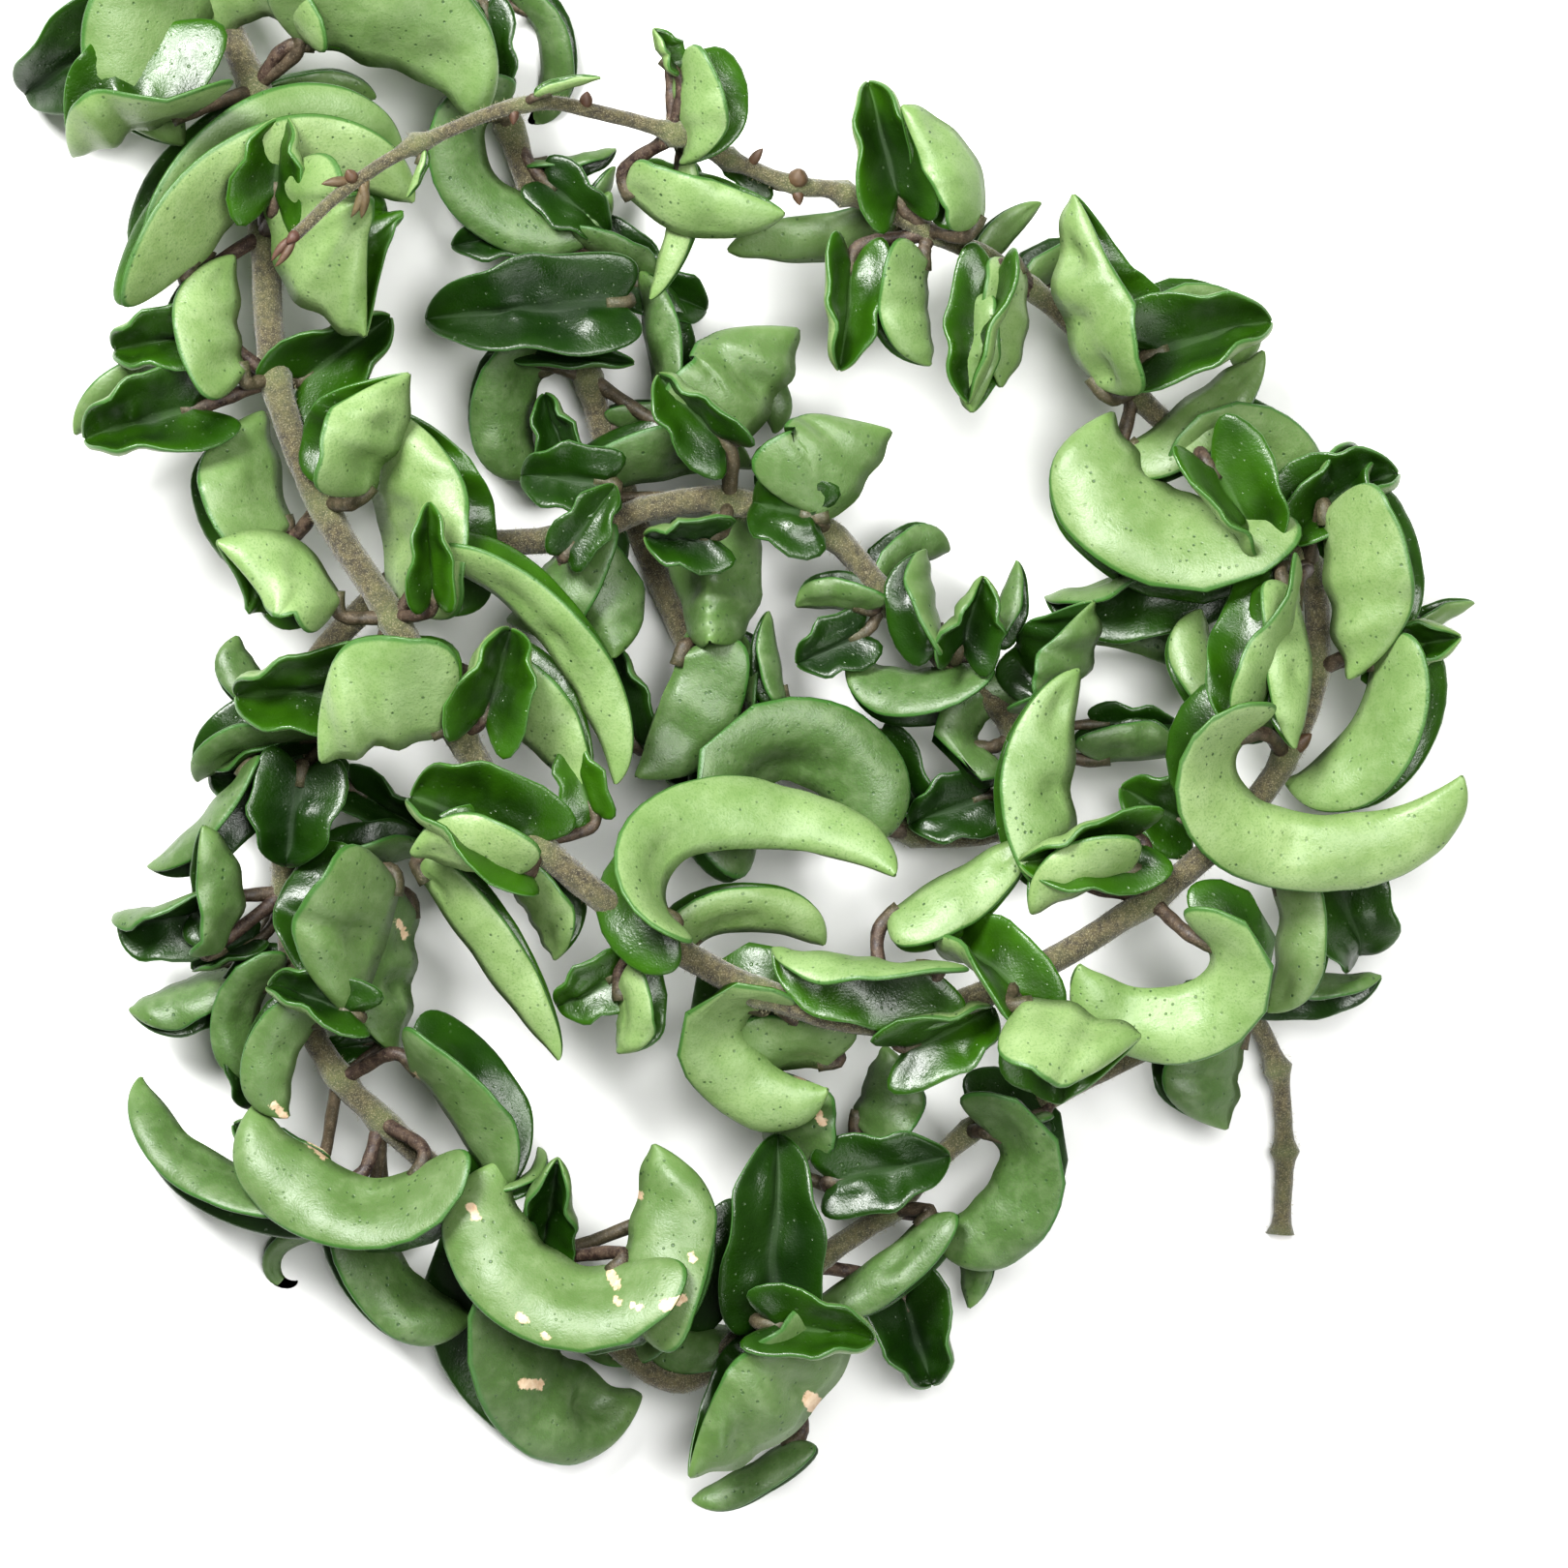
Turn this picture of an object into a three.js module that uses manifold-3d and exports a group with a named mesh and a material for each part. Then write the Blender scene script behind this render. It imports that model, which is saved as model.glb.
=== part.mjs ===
// Hindu rope plant: two cut vines of a curly-leaved wax plant, laid down one over the other.
// Millimetres, +Z up. The origin is at the middle of the underside of the whole heap.
import * as THREE from "three";
import Module from "manifold-3d";

// Stem sizes
const LONG_STEM_RADIUS = [2.5, 2.3, 2.1, 1.5, 1.0];
const COILED_STEM_RADIUS = [2.3, 2.2, 2.2, 2.1, 2.2];

// Route of each stem, as points chosen by hand: x, y, z. A point that carries leaves is a node.
const LONG_ROUTE = [
  [-103, 148, 30],
  [-96, 132, 30],
  [-88, 115, 31],
  [-86, 91, 33],
  [-84, 67, 36],
  [-76, 46, 41],
  [-64, 27, 46],
  [-53, 8, 49],
  [-40, -10, 49],
  [-22, -24, 48],
  [-4, -34, 47],
  [17, -39, 46],
  [38, -32, 45],
  [60, -19, 43],
  [74, -7, 40],
  [83, 5, 37],
  [88, 19, 34],
  [87, 36, 31],
  [79, 46, 29],
  [69, 55, 28],
  [58, 65, 29],
  [50, 74, 31],
  [41, 82, 33],
  [33, 87, 36],
  [24, 91, 39],
  [10, 97, 43],
  [2, 98, 46],
  [-9, 102, 49],
  [-18, 106, 52],
  [-30, 109, 56],
  [-42, 110, 60],
  [-59, 103, 65],
  [-70, 96, 67],
  [-78.5, 88, 69],
];

const COILED_ROUTE = [
  [84, -76, 9.3],
  [84.5, -62, 10],
  [83, -48, 12],
  [77, -39, 16],
  [62, -44, 20],
  [45, -52, 22],
  [31, -58, 22],
  [18, -71, 22],
  [5, -80, 23],
  [-4, -89, 24],
  [-17, -100, 21],
  [-30, -92, 21],
  [-40, -79, 23],
  [-54, -68, 24],
  [-67, -56, 25],
  [-74, -49, 25],
  [-81, -36, 24],
  [-83, -18, 23],
  [-84, -2, 21],
  [-82, 14, 19],
  [-72, 28, 17],
  [-57, 39, 20],
  [-36, 41, 26],
  [-22, 46, 28],
  [-9, 47, 29],
  [7, 42, 29],
  [17, 31, 28],
  [28, 20, 26],
  [39, 8, 24],
  [38, -6, 19],
  [22, -8, 15],
  [5, 2, 14],
  [-11, 15, 14],
  [-20, 32, 14],
  [-28, 52, 15],
  [-33, 68, 16],
  [-38, 86, 17],
  [-46, 110, 18],
  [-52, 128, 18],
  [-60, 148, 18],
];

// Leaves. Each row: stem point, kind, foot of the blade (x, y, z), heading, pitch, roll and twist in degrees,
// length and half width, and how far the midrib turns from foot to tip in degrees.
const LONG_LEAVES = [
  [1, "shell", -91, 134, 34, 232, 5, -80, 10, 30, 22, 40],
  [1, "open", -102, 132, 26, 215, -5, 10, 0, 34, 10, 40],
  [2, "cup", -98, 110, 44, 200, -5, -55, 0, 20, 17, 0],
  [2, "shell", -80, 122, 37, -2, 0, 76, 10, 33, 20, 38],
  [2, "pod", -80, 124, 38, 110, 0, -60, 0, 20, 11, 120],
  [2, "boat", -86, 113, 26, 10, 0, 80, 0, 18, 6, 10],
  [3, "heart", -98, 84, 44, 60, 0, 80, 0, 42, 16, 78],
  [3, "shell", -96, 86, 36, 66, 0, 76, 0, 40, 18, 70],
  [3, "shell", -85, 98, 46, -102, 0, 78, 0, 33, 24, -85],
  [4, "shell", -89, 67, 40, 100, 0, 78, 0, 20, 13, 10],
  [4, "cup", -97, 62, 38, 195, 5, -5, 0, 19, 11, 10],
  [4, "boat", -99, 70, 32, 213, 0, -85, 0, 22, 7, 0],
  [4, "cup", -80, 67, 33, 35, 0, -10, 0, 18, 10, 0],
  [5, "shell", -69, 47, 48, 45, 0, 72, 0, 22, 16, -45],
  [5, "shell", -82, 42, 34, 102, 0, 80, 0, 20, 16, 0],
  [6, "shell", -63, 29, 40, 112, 0, -78, 0, 34, 20, -30],
  [6, "boat", -57, 30, 54, 92, 10, 0, 0, 16, 6, 0],
  [6, "shell", -73, 29, 48, 92, 5, 66, 0, 27, 15, -110],
  [6, "cup", -71, 17, 40, 188, -5, 10, 0, 20, 11, 10],
  [6, "boat", -54, 36, 50, -25, 0, 75, 20, 46, 9, 50],
  [7, "shell", -55, 9, 54, 200, 0, -88, 0, 21, 21, -10],
  [7, "cup", -49, 11, 52, 72, 0, -10, 0, 15, 9.5, 10],
  [7, "spear", -52, 18, 44, -55, 0, 75, 0, 28, 13, -20],
  [8, "open", -31, -5, 46, 110, 0, 10, 0, 13, 5, 10],
  [8, "cup", -45, -10, 50, 150, 5, -20, 0, 18, 13, 20],
  [8, "spear", -60, -14, 43, -58, -5, 80, 0, 39, 8.5, -8],
  [8, "boat", -46, -14, 42, -55, 0, 75, 0, 17, 10, 10],
  [9, "curl", -18, -22, 54, 150, 0, 54, 30, 50, 12, 185],
  [9, "open", -27, -31, 42, -150, 0, 10, 0, 12, 6, 20],
  [9, "pod", -27, -33, 44, -85, 0, 70, 0, 11, 8, 10],
  [9, "pod", -16, -27, 38, 50, 0, 80, 0, 24, 8, 75],
  [10, "curl", -4, -37, 42, 165, 0, -62, 10, 24, 12, 190],
  [11, "cup", 24, -30, 50, 178, 0, 50, 0, 26, 11, 10],
  [11, "cup", 20, -43, 44, 20, 0, -20, 0, 16, 9, 20],
  [11, "spear", 17, -22, 42, 38, 0, -80, 0, 28, 10, -15],
  [12, "shell", 38, -36, 54, 10, 0, -76, 0, 21, 17, -45],
  [12, "cup", 38, -35, 48, 120, 0, -30, 0, 18, 9, 80],
  [13, "curl", 69, -26, 50, -20, 0, 70, 20, 29, 12.5, 200],
  [13, "cup", 57, -9, 46, 190, 0, 15, 0, 19, 10, -10],
  [13, "spear", 48, -14, 42, 100, 0, 85, 0, 33, 13, 20],
  [15, "curl", 76, 8, 48, 195, 0, -68, 20, 50, 13, 205],
  [14, "pod", 82, -16, 30, -75, 0, 80, 0, 22, 9, 30],
  [14, "open", 90, -15, 28, -60, 0, 10, 0, 18, 9, 60],
  [16, "shell", 97, 21, 40, -85, 0, 74, 0, 27, 14, 75],
  [16, "spear", 104, 24, 32, 30, 0, 60, 0, 12, 4, 0],
  [17, "cup", 84, 31, 44, -95, 0, -60, 0, 26, 12, -35],
  [15, "pod", 78, 14, 34, 160, 0, 80, 0, 18, 9, 60],
  [17, "shell", 89, 45, 40, -90, 0, 78, 0, 28, 17, -15],
  [19, "cup", 70, 52, 42, -57, 0, 20, 0, 17, 10.5, 15],
  [19, "pod", 70, 54, 30, 50, 0, 70, 0, 24, 11, 150],
  [19, "pod", 72, 47, 36, 205, 0, 85, 0, 25, 19, 98],
  [19, "boat", 72, 40, 26, 205, 0, 40, 0, 30, 12, 20],
  [20, "cup", 61, 71, 38, 15, 0, 10, 0, 20, 11, 0],
  [20, "pod", 62, 74, 30, 60, 0, 70, 0, 18, 9, 120],
  [20, "spear", 57, 55, 32, 42, 0, -85, 0, 28, 10, -10],
  [20, "fin", 52, 65, 40, 128, 0, -68, 0, 34, 17, -62],
  [22, "pod", 43, 83, 28, 50, 0, 70, 0, 14, 7, 90],
  [22, "cup", 35, 84, 42, -100, 0, -25, 0, 22, 8, -10],
  [23, "spear", 33, 85, 30, 50, 0, 80, 0, 15, 5, 0],
  [24, "cup", 19, 96, 42, 105, 0, 0, 0, 20, 9, 0],
  [24, "cup", 11, 86, 40, -97, 0, 15, 0, 18, 8, -5],
  [24, "pod", 19, 93, 32, 235, 0, -85, 0, 30, 8, -70],
  [26, "boat", -2, 99, 40, 150, 0, 40, 0, 10, 4, 20],
  [28, "shell", -26, 98, 46, -62, 0, 76, 0, 30, 11, -95],
  [28, "spear", -17, 102, 44, -97, 0, 80, 0, 23, 5, 10],
  [28, "boat", -18, 116, 56, 140, 0, -40, 0, 8, 4, -60],
  [28, "shell", -18, 116, 52, -80, 0, 70, 0, 15, 12, 10],
  [30, "spear", -40, 111, 62, 15, 10, 60, 0, 11, 2, 0],
  [31, "spear", -58, 102, 65, -110, 0, 60, 0, 8, 1.6, 0],
  [22, "shell", 30, 80, 40, -122, 0, 76, 0, 20, 10, -65],
  [24, "shell", 23, 87, 40, -92, 0, -78, 0, 18, 10, 10],
  [3, "cup", -83, 96, 48, 82, 10, 10, 0, 13, 9, 0],
  [4, "cup", -97, 74, 40, 190, 0, 0, 0, 14, 8, 20],
  [17, "cup", 88, 43, 34, 60, 0, 0, 0, 15, 8, 20],
  [24, "shell", 31, 91, 46, 62, 0, 74, 0, 27, 10.5, -110],
  [8, "shell", -43, -15, 54, 168, 0, -80, 0, 18, 11, 0],
  [22, "shell", 38, 86, 38, -62, 0, -76, 0, 22, 10, -65],
  [17, "cup", 88, 45, 34, 25, 0, 20, 0, 15, 10, 0],
  [16, "cup", 99, 22, 34, 10, 0, 0, 0, 14, 8, -40],
  [17, "shell", 82, 33, 46, -60, 0, -80, 0, 28, 9, -50],
  [13, "shell", 57, -14, 48, 198, 0, -80, 0, 18, 10, 10],
  [14, "open", 67, -7, 34, 150, 0, 0, 0, 13, 7, 0],
  [10, "boat", 8, -46, 34, 188, 0, -85, 0, 20, 12, 0],
];

const COILED_LEAVES = [
  [3, "pod", 77, -42, 18, -100, 0, -80, 0, 16, 15, 0],
  [3, "boat", 79, -34, 20, 15, 0, -60, 0, 21, 7, -20],
  [5, "boat", 43, -55, 24, 190, 0, 60, 0, 10, 5, 0],
  [6, "curl", 34, -58, 28, -15, 0, 75, 0, 24, 13, 140],
  [7, "spear", 29, -76, 18, -80, 0, 80, 0, 12, 6, 0],
  [7, "pod", 24, -72, 26, -130, 0, 80, 0, 24, 8, 20],
  [8, "cup", 20, -86, 18, -72, -10, 0, 0, 16, 10, 0],
  [9, "shell", 11, -91, 32, 262, 0, -82, 0, 38, 19, -75],
  [9, "pod", 2, -110, 18, -150, 0, 80, 0, 20, 6, 0],
  [9, "open", -2, -88, 30, 88, 10, 0, 0, 30, 10, 20],
  [7, "shell", -1, -62, 25, 120, 0, -92, 0, 15, 14, -30],
  [7, "open", 8, -66, 28, 12, 0, 0, 0, 20, 8, 0],
  [12, "pod", -27, -79, 38, 225, 0, 82, 0, 30, 16, 130],
  [12, "pod", -27, -86, 37, 88, 0, -95, 0, 27, 15, -15],
  [12, "boat", -13, -72, 27, -85, 0, 55, 0, 38, 9, 100],
  [12, "curl", -42, -83, 22.2, 240, 0, -65, 0, 32, 19, 100],
  [9, "pod", -6, -90, 20, 200, 0, 80, 0, 18, 8, 20],
  [13, "cup", -40, -77, 26, 80, 0, 0, 0, 20, 8, -60],
  [13, "spear", -47, -67, 34, 10, 0, -40, 0, 12, 3, 90],
  [15, "boat", -62, -46, 32, -50, 0, 74, 0, 27, 13, 10],
  [14, "curl", -60, -63, 34, 238, 0, 80, 0, 33, 14, 105],
  [14, "pod", -68, -72, 22, -80, 0, -80, 0, 24, 12, 50],
  [14, "hook", -70, -76, 12.3, 175, 0, -60, 0, 24, 4, 200],
  [14, "boat", -72, -66, 26, 200, 0, 70, 0, 44, 10, 80],
  [15, "cup", -80, -64, 20, 150, 0, 0, 0, 14, 6, 0],
  [16, "pod", -76, -39, 32, 190, 0, -80, 0, 19, 9, 90],
  [16, "open", -87, -41, 22, -100, 0, 0, 0, 14, 6, 20],
  [16, "pod", -85, -33, 24, 200, 0, -80, 0, 18, 8, 100],
  [17, "shell", -64, -16, 35, -96, 0, -74, 0, 24, 20, -25],
  [16, "cup", -71, -38, 38, 160, 0, -20, 0, 15, 7, 10],
  [15, "open", -68, -43, 22, 190, 0, 0, 0, 9, 4, 0],
  [17, "boat", -95, -28, 30, 30, 0, 65, 0, 26, 9, -110],
  [17, "cup", -98, -20, 26, 200, 0, 40, 0, 14, 9, 30],
  [17, "pod", -93, -31, 18, 190, 0, 70, 0, 18, 9, -20],
  [17, "boat", -88, -26, 22, 205, 0, -20, 0, 12, 5, 0],
  [18, "boat", -89, 3, 28, -125, 0, 60, 0, 24, 8, 20],
  [18, "boat", -78, 8, 28, 180, 0, -60, 0, 22, 9, 40],
  [19, "cup", -78, 6, 24, 200, 0, 20, 0, 20, 8, 30],
  [19, "pod", -84, 16, 20, 170, 0, 80, 0, 12, 7, 60],
  [18, "open", -80, 2, 30, -100, 0, 0, 0, 16, 9, 10],
  [17, "boat", -76, -15, 24, 25, 0, 60, 0, 18, 7, 30],
  [18, "cup", -72, -1, 18, -30, 0, 0, 0, 14, 6, 0],
  [22, "open", -29, 50, 32, 175, 0, 0, 0, 15, 7, 20],
  [22, "open", -36, 38, 34, 55, 0, 0, 0, 14, 5, 0],
  [24, "boat", -31, 49, 24, 20, 0, 80, 0, 26, 11, 20],
  [24, "cup", -10, 57, 36, 135, 0, 20, 0, 15, 8, 0],
  [24, "pod", -8, 57, 32, 22, 0, 100, 0, 22, 17, -60],
  [25, "open", 5, 44, 34, 165, 0, 0, 0, 11, 8, 30],
  [25, "pod", 5, 44, 34, 10, 0, 100, 0, 20, 17, -60],
  [24, "cup", -12, 41, 36, 180, 0, 20, 0, 11, 7, 0],
  [24, "boat", -13, 40, 30, -85, 0, 170, 0, 17, 12, 25],
  [22, "boat", -36, 34, 26, -60, 0, 140, 0, 15, 11, 0],
  [22, "pod", -36, 41, 24, -120, 0, 80, 0, 17, 12, 10],
  [32, "boat", -17, 22, 28, -110, 0, 130, 0, 22, 13, 0],
  [31, "spear", 0, 14, 24, 100, 0, 60, 0, 15, 5, 0],
  [26, "pod", 14, 29, 30, 165, 0, -70, 0, 12, 6, 20],
  [26, "open", 13, 25, 28, 205, 0, 0, 0, 12, 6, 0],
  [27, "cup", 29, 23, 34, 80, 0, -20, 0, 13, 8, -40],
  [27, "boat", 26, 24, 34, 110, 0, 60, 0, 15, 8, 20],
  [26, "pod", 18, 33, 24, 70, 0, 70, 0, 12, 7, 60],
  [27, "spear", 34, 24, 26, 70, 0, -60, 0, 14, 5, 0],
  [27, "boat", 30, 20, 28, 210, 0, 80, 0, 20, 10, 60],
  [28, "boat", 42, 12, 29, 15, 0, 60, 0, 24, 13, -90],
  [28, "boat", 49, 25, 19, -15, 0, 130, 0, 22, 8, 0],
  [28, "pod", 33, 6, 26, 175, 0, 80, 0, 13, 8, 200],
  [29, "open", 34, -2, 20, 200, 0, 0, 0, 14, 7, 0],
  [30, "pod", -4, -5, 26, 118, 0, 82, 0, 25, 16, 205],
  [30, "open", 16, 8, 18, -60, 0, 0, 0, 20, 5, 0],
  [28, "pod", 52, 4, 22, 5, 0, 80, 0, 14, 7, 0],
  [28, "open", 52, 10, 20, 0, 0, 0, 0, 14, 4, 0],
  [38, "open", -50, 130, 22, -80, 0, 0, 0, 16, 5, 0],
  [38, "boat", -57, 131, 20, -75, 0, 60, 0, 16, 6, 0],
  [38, "pod", -45, 131, 12.7, -20, 0, 70, 0, 22, 6, 100],
  [37, "pod", -48, 112, 22, 190, 0, -80, 0, 34, 10, 200],
  [37, "open", -40, 101, 20, -40, 0, 0, 0, 14, 6, 0],
  [36, "spear", -32, 90, 18, 75, 0, 60, 0, 14, 4, 0],
  [37, "boat", -42, 104, 18, 10, 0, -60, 0, 14, 4, 0],
  [37, "open", -40, 93, 18, 190, 0, 0, 0, 16, 5, 0],
  [36, "pod", -33, 90, 18, -20, 0, 60, 0, 13, 7, 20],
  [36, "open", -27, 80, 28, 184, 0, -5, 0, 33, 10, 10],
  [35, "boat", -44, 72, 22, -5, 0, 10, 0, 19, 4, 0],
  [35, "pod", -39, 70, 18, 200, 0, -78, 0, 20, 11, 100],
  [34, "cup", -36, 54, 20, 110, 0, 10, 0, 12, 6, 0],
  [35, "boat", -20, 62, 20, 105, 0, -75, 0, 24, 8, -10],
  [36, "open", -25, 84, 18, -20, 0, 0, 0, 13, 6, 20],
  [34, "pod", -28, 60, 16, 0, 0, 80, 0, 14, 5, 0],
  [34, "curl", -13, 67, 22, 85, 0, 70, 0, 18, 6, 160],
  [17, "boat", -62, -20, 27, -84, 0, -78, 0, 25, 13, -20],
  [32, "cup", -25, 7, 18, 105, 0, 0, 0, 17, 7, 0],
  [32, "boat", -6, 12, 20, 100, 0, -60, 0, 14, 6, 0],
  [31, "boat", -8, 3, 13.5, 190, 0, 0, 0, 12, 6, 0],
  [7, "shell", 12, -57, 21, 80, 0, -88, 0, 14, 12, -20],
  [9, "cup", -2, -89, 40, -8, 0, 10, 0, 17, 8.5, 0],
];

// Leaf forms: the side angle of each half at the midrib and at the margin, at the foot and beyond it,
// then the wave of the margin, how late the blade narrows, the share of the bend that is a tight hook
// (at the tip when negative) and how far the foot lobes reach back.
const LEAF_FORMS = {
  curl: { foot: [45, 55], blade: [38, 112], wave: 0.6, taper: 3.2, hook: 0.6, lobe: 0.6 },
  pod: { foot: [40, 75], blade: [40, 112], wave: 0.5, taper: 3.2, hook: 0.4, lobe: 0.6 },
  cup: { foot: [30, 50], blade: [32, 96], wave: 0.7, taper: 2.8, hook: 0.3, lobe: 0.7 },
  boat: { foot: [35, 50], blade: [42, 84], wave: 0.5, taper: 2.4, hook: 0.2, lobe: 0.5 },
  heart: { foot: [35, 50], blade: [42, 84], wave: 0.5, taper: 2.2, hook: 0.1, lobe: 0.8 },
  shell: { foot: [45, 60], blade: [38, 100], wave: 0.5, taper: 2.2, hook: 0.1, lobe: 0.35 },
  fin: { foot: [40, 60], blade: [45, 90], wave: 0.4, taper: 1.0, hook: 0.0, lobe: 0.4 },
  open: { foot: [15, 30], blade: [30, 55], wave: 0.7, taper: 2.2, hook: 0.0, lobe: 0.5 },
  spear: { foot: [40, 80], blade: [60, 95], wave: 0.3, taper: 1.4, hook: 0.1, lobe: 0.3 },
  hook: { foot: [40, 80], blade: [50, 90], wave: 0.3, taper: 1.6, hook: -0.8, lobe: 0.3 },
};

// Rows of points down a large, a middling and a small blade, as shares of its length
const LARGE_ROWS = [0.04, 0.2, 0.52, 0.87];
const MIDDLING_ROWS = [0.05, 0.3, 0.8];
const SMALL_ROWS = [0.06, 0.35, 0.75];

// Leaf sizes
const BLADE_THICKNESS = 1.9;
const WIDEST_AT = 0.3;
const LARGE_HALF_WIDTH = 13;
const SMALL_HALF_WIDTH = 10;
const MIDRIB_STEPS = 60;

// Stalk and stem sizes
const STALK_RADIUS = 1.3;
const STALK_SIDES = 3;
const STALK_SUNK = 2.5;
const LONG_STALK = 7;
const STEM_SIDES = 5;
const NODE_SWELLING = 1.22;

// The heap rests on the points cut level here, and its middle is moved to the origin.
const REST_LEVEL = 7.8;
const MIDDLE_X = -8.5;
const MIDDLE_Y = 15.3;

// Steps in the surface finer than this are smoothed away after the pieces are joined.
const SMALLEST_STEP = 0.6;
const SMALLEST_SKIN = 1;
const BEAD_RADIUS = 0.7;

const DEGREE = Math.PI / 180;

const wasm = await Module();
wasm.setup();

function closedSolid(points, triangles) {
  const vertProperties = new Float32Array(points.flatMap((p) => [p.x, p.y, p.z]));
  let volume = 0;
  for (const [a, b, c] of triangles) {
    volume += points[a].dot(points[b].clone().cross(points[c]));
  }
  const facingOut = volume > 0 ? triangles : triangles.map(([a, b, c]) => [a, c, b]);
  const triVerts = new Uint32Array(facingOut.flat());
  return new wasm.Manifold(new wasm.Mesh({ numProp: 3, vertProperties, triVerts }));
}

// A tube of rings round a line of points, closed by a flat end at each side.
function tube(line, radii, sides) {
  const points = [];
  const triangles = [];
  let across = null;
  line.forEach((middle, ring) => {
    const before = line[Math.max(ring - 1, 0)];
    const after = line[Math.min(ring + 1, line.length - 1)];
    const along = after.clone().sub(before).normalize();
    if (!across) {
      across = Math.abs(along.z) < 0.9 ? new THREE.Vector3(0, 0, 1) : new THREE.Vector3(1, 0, 0);
    }
    across.addScaledVector(along, -across.dot(along)).normalize();
    const other = along.clone().cross(across);
    for (let side = 0; side < sides; side++) {
      const angle = (2 * Math.PI * side) / sides;
      const point = middle.clone();
      point.addScaledVector(across, radii[ring] * Math.cos(angle));
      point.addScaledVector(other, radii[ring] * Math.sin(angle));
      points.push(point);
    }
  });
  for (let ring = 0; ring + 1 < line.length; ring++) {
    for (let side = 0; side < sides; side++) {
      const next = (side + 1) % sides;
      const a = ring * sides + side;
      const b = ring * sides + next;
      triangles.push([a, b, b + sides]);
      triangles.push([a, b + sides, a + sides]);
    }
  }
  const last = (line.length - 1) * sides;
  for (let side = 1; side + 1 < sides; side++) {
    triangles.push([0, side + 1, side]);
    triangles.push([last, last + side, last + side + 1]);
  }
  return closedSolid(points, triangles);
}

// The stem through its route, a little swollen at each point that carries a leaf.
function stem(route, radii, leaves) {
  const curve = new THREE.CatmullRomCurve3(
    route.map(([x, y, z]) => new THREE.Vector3(x, y, z)),
    false,
    "catmullrom",
    0.5,
  );
  const leafy = new Set(leaves.map((leaf) => leaf[0]));
  const line = [];
  const ringRadii = [];
  const rings = 2 * (route.length - 1);
  for (let ring = 0; ring <= rings; ring++) {
    const share = ring / rings;
    const place = share * (radii.length - 1);
    const start = Math.min(Math.floor(place), radii.length - 2);
    const radius = THREE.MathUtils.lerp(radii[start], radii[start + 1], place - start);
    line.push(curve.getPoint(share));
    ringRadii.push(ring % 2 === 0 && leafy.has(ring / 2) ? radius * NODE_SWELLING : radius);
  }
  return tube(line, ringRadii, STEM_SIDES);
}

// How far a blade has rounded out at a share of its length: 0 at the foot, 1 from the widest place on.
function roundedFoot(share) {
  return Math.sqrt(Math.min(Math.max(share, 0) / WIDEST_AT, 1));
}

// Half the width of a blade at a share of its length, as a share of the greatest.
function bladeOutline(share, taper) {
  const fall = Math.max(0, 1 - Math.max(0, (share - 0.4) / 0.6) ** taper) ** 0.6;
  return Math.sin((Math.PI / 2) * roundedFoot(share)) * fall;
}

function footFrame(row) {
  const [, , x, y, z, heading, pitch, roll] = row;
  const turn = heading * DEGREE;
  const climb = pitch * DEGREE;
  const along = new THREE.Vector3(
    Math.cos(climb) * Math.cos(turn),
    Math.cos(climb) * Math.sin(turn),
    Math.sin(climb),
  );
  const left = new THREE.Vector3(-Math.sin(turn), Math.cos(turn), 0);
  const opening = along.clone().cross(left).multiplyScalar(Math.cos(roll * DEGREE));
  opening.addScaledVector(left, Math.sin(roll * DEGREE));
  return { point: new THREE.Vector3(x, y, z), along, opening };
}

// Frames down the midrib, each turned a little from the one before it.
function midribFrames(row, form) {
  const [, , , , , , , roll, twist, length, , bend] = row;
  const frames = [footFrame(row)];
  const step = length / MIDRIB_STEPS;
  const even = 1 - Math.abs(form.hook);
  const turnRoll = (-(roll >= 0 ? 1 : -1) * twist * DEGREE) / MIDRIB_STEPS;
  for (let i = 0; i < MIDRIB_STEPS; i++) {
    const share = (i + 0.5) / MIDRIB_STEPS;
    const atFoot = 6 * Math.max(form.hook, 0) * (1 - share) ** 5;
    const atTip = 4 * Math.max(-form.hook, 0) * share ** 3;
    const turn = ((bend * DEGREE) / MIDRIB_STEPS) * (even + atFoot + atTip);
    const last = frames[i];
    const along = last.along.clone().multiplyScalar(Math.cos(turn));
    along.addScaledVector(last.opening, -Math.sin(turn));
    const opening = last.opening.clone().multiplyScalar(Math.cos(turn));
    opening.addScaledVector(last.along, Math.sin(turn));
    const side = along.clone().cross(opening);
    opening.multiplyScalar(Math.cos(turnRoll)).addScaledVector(side, Math.sin(turnRoll));
    const point = last.point.clone().addScaledVector(along, step);
    frames.push({ point, along, opening });
  }
  return frames;
}

function frameAt(frames, length, distance) {
  if (distance <= 0) {
    const foot = frames[0];
    return { ...foot, point: foot.point.clone().addScaledVector(foot.along, distance) };
  }
  const place = (distance / length) * MIDRIB_STEPS;
  const start = Math.min(Math.floor(place), MIDRIB_STEPS - 1);
  const share = place - start;
  const [a, b] = [frames[start], frames[start + 1]];
  return {
    point: a.point.clone().lerp(b.point, share),
    along: a.along.clone().lerp(b.along, share).normalize(),
    opening: a.opening.clone().lerp(b.opening, share).normalize(),
  };
}

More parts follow.
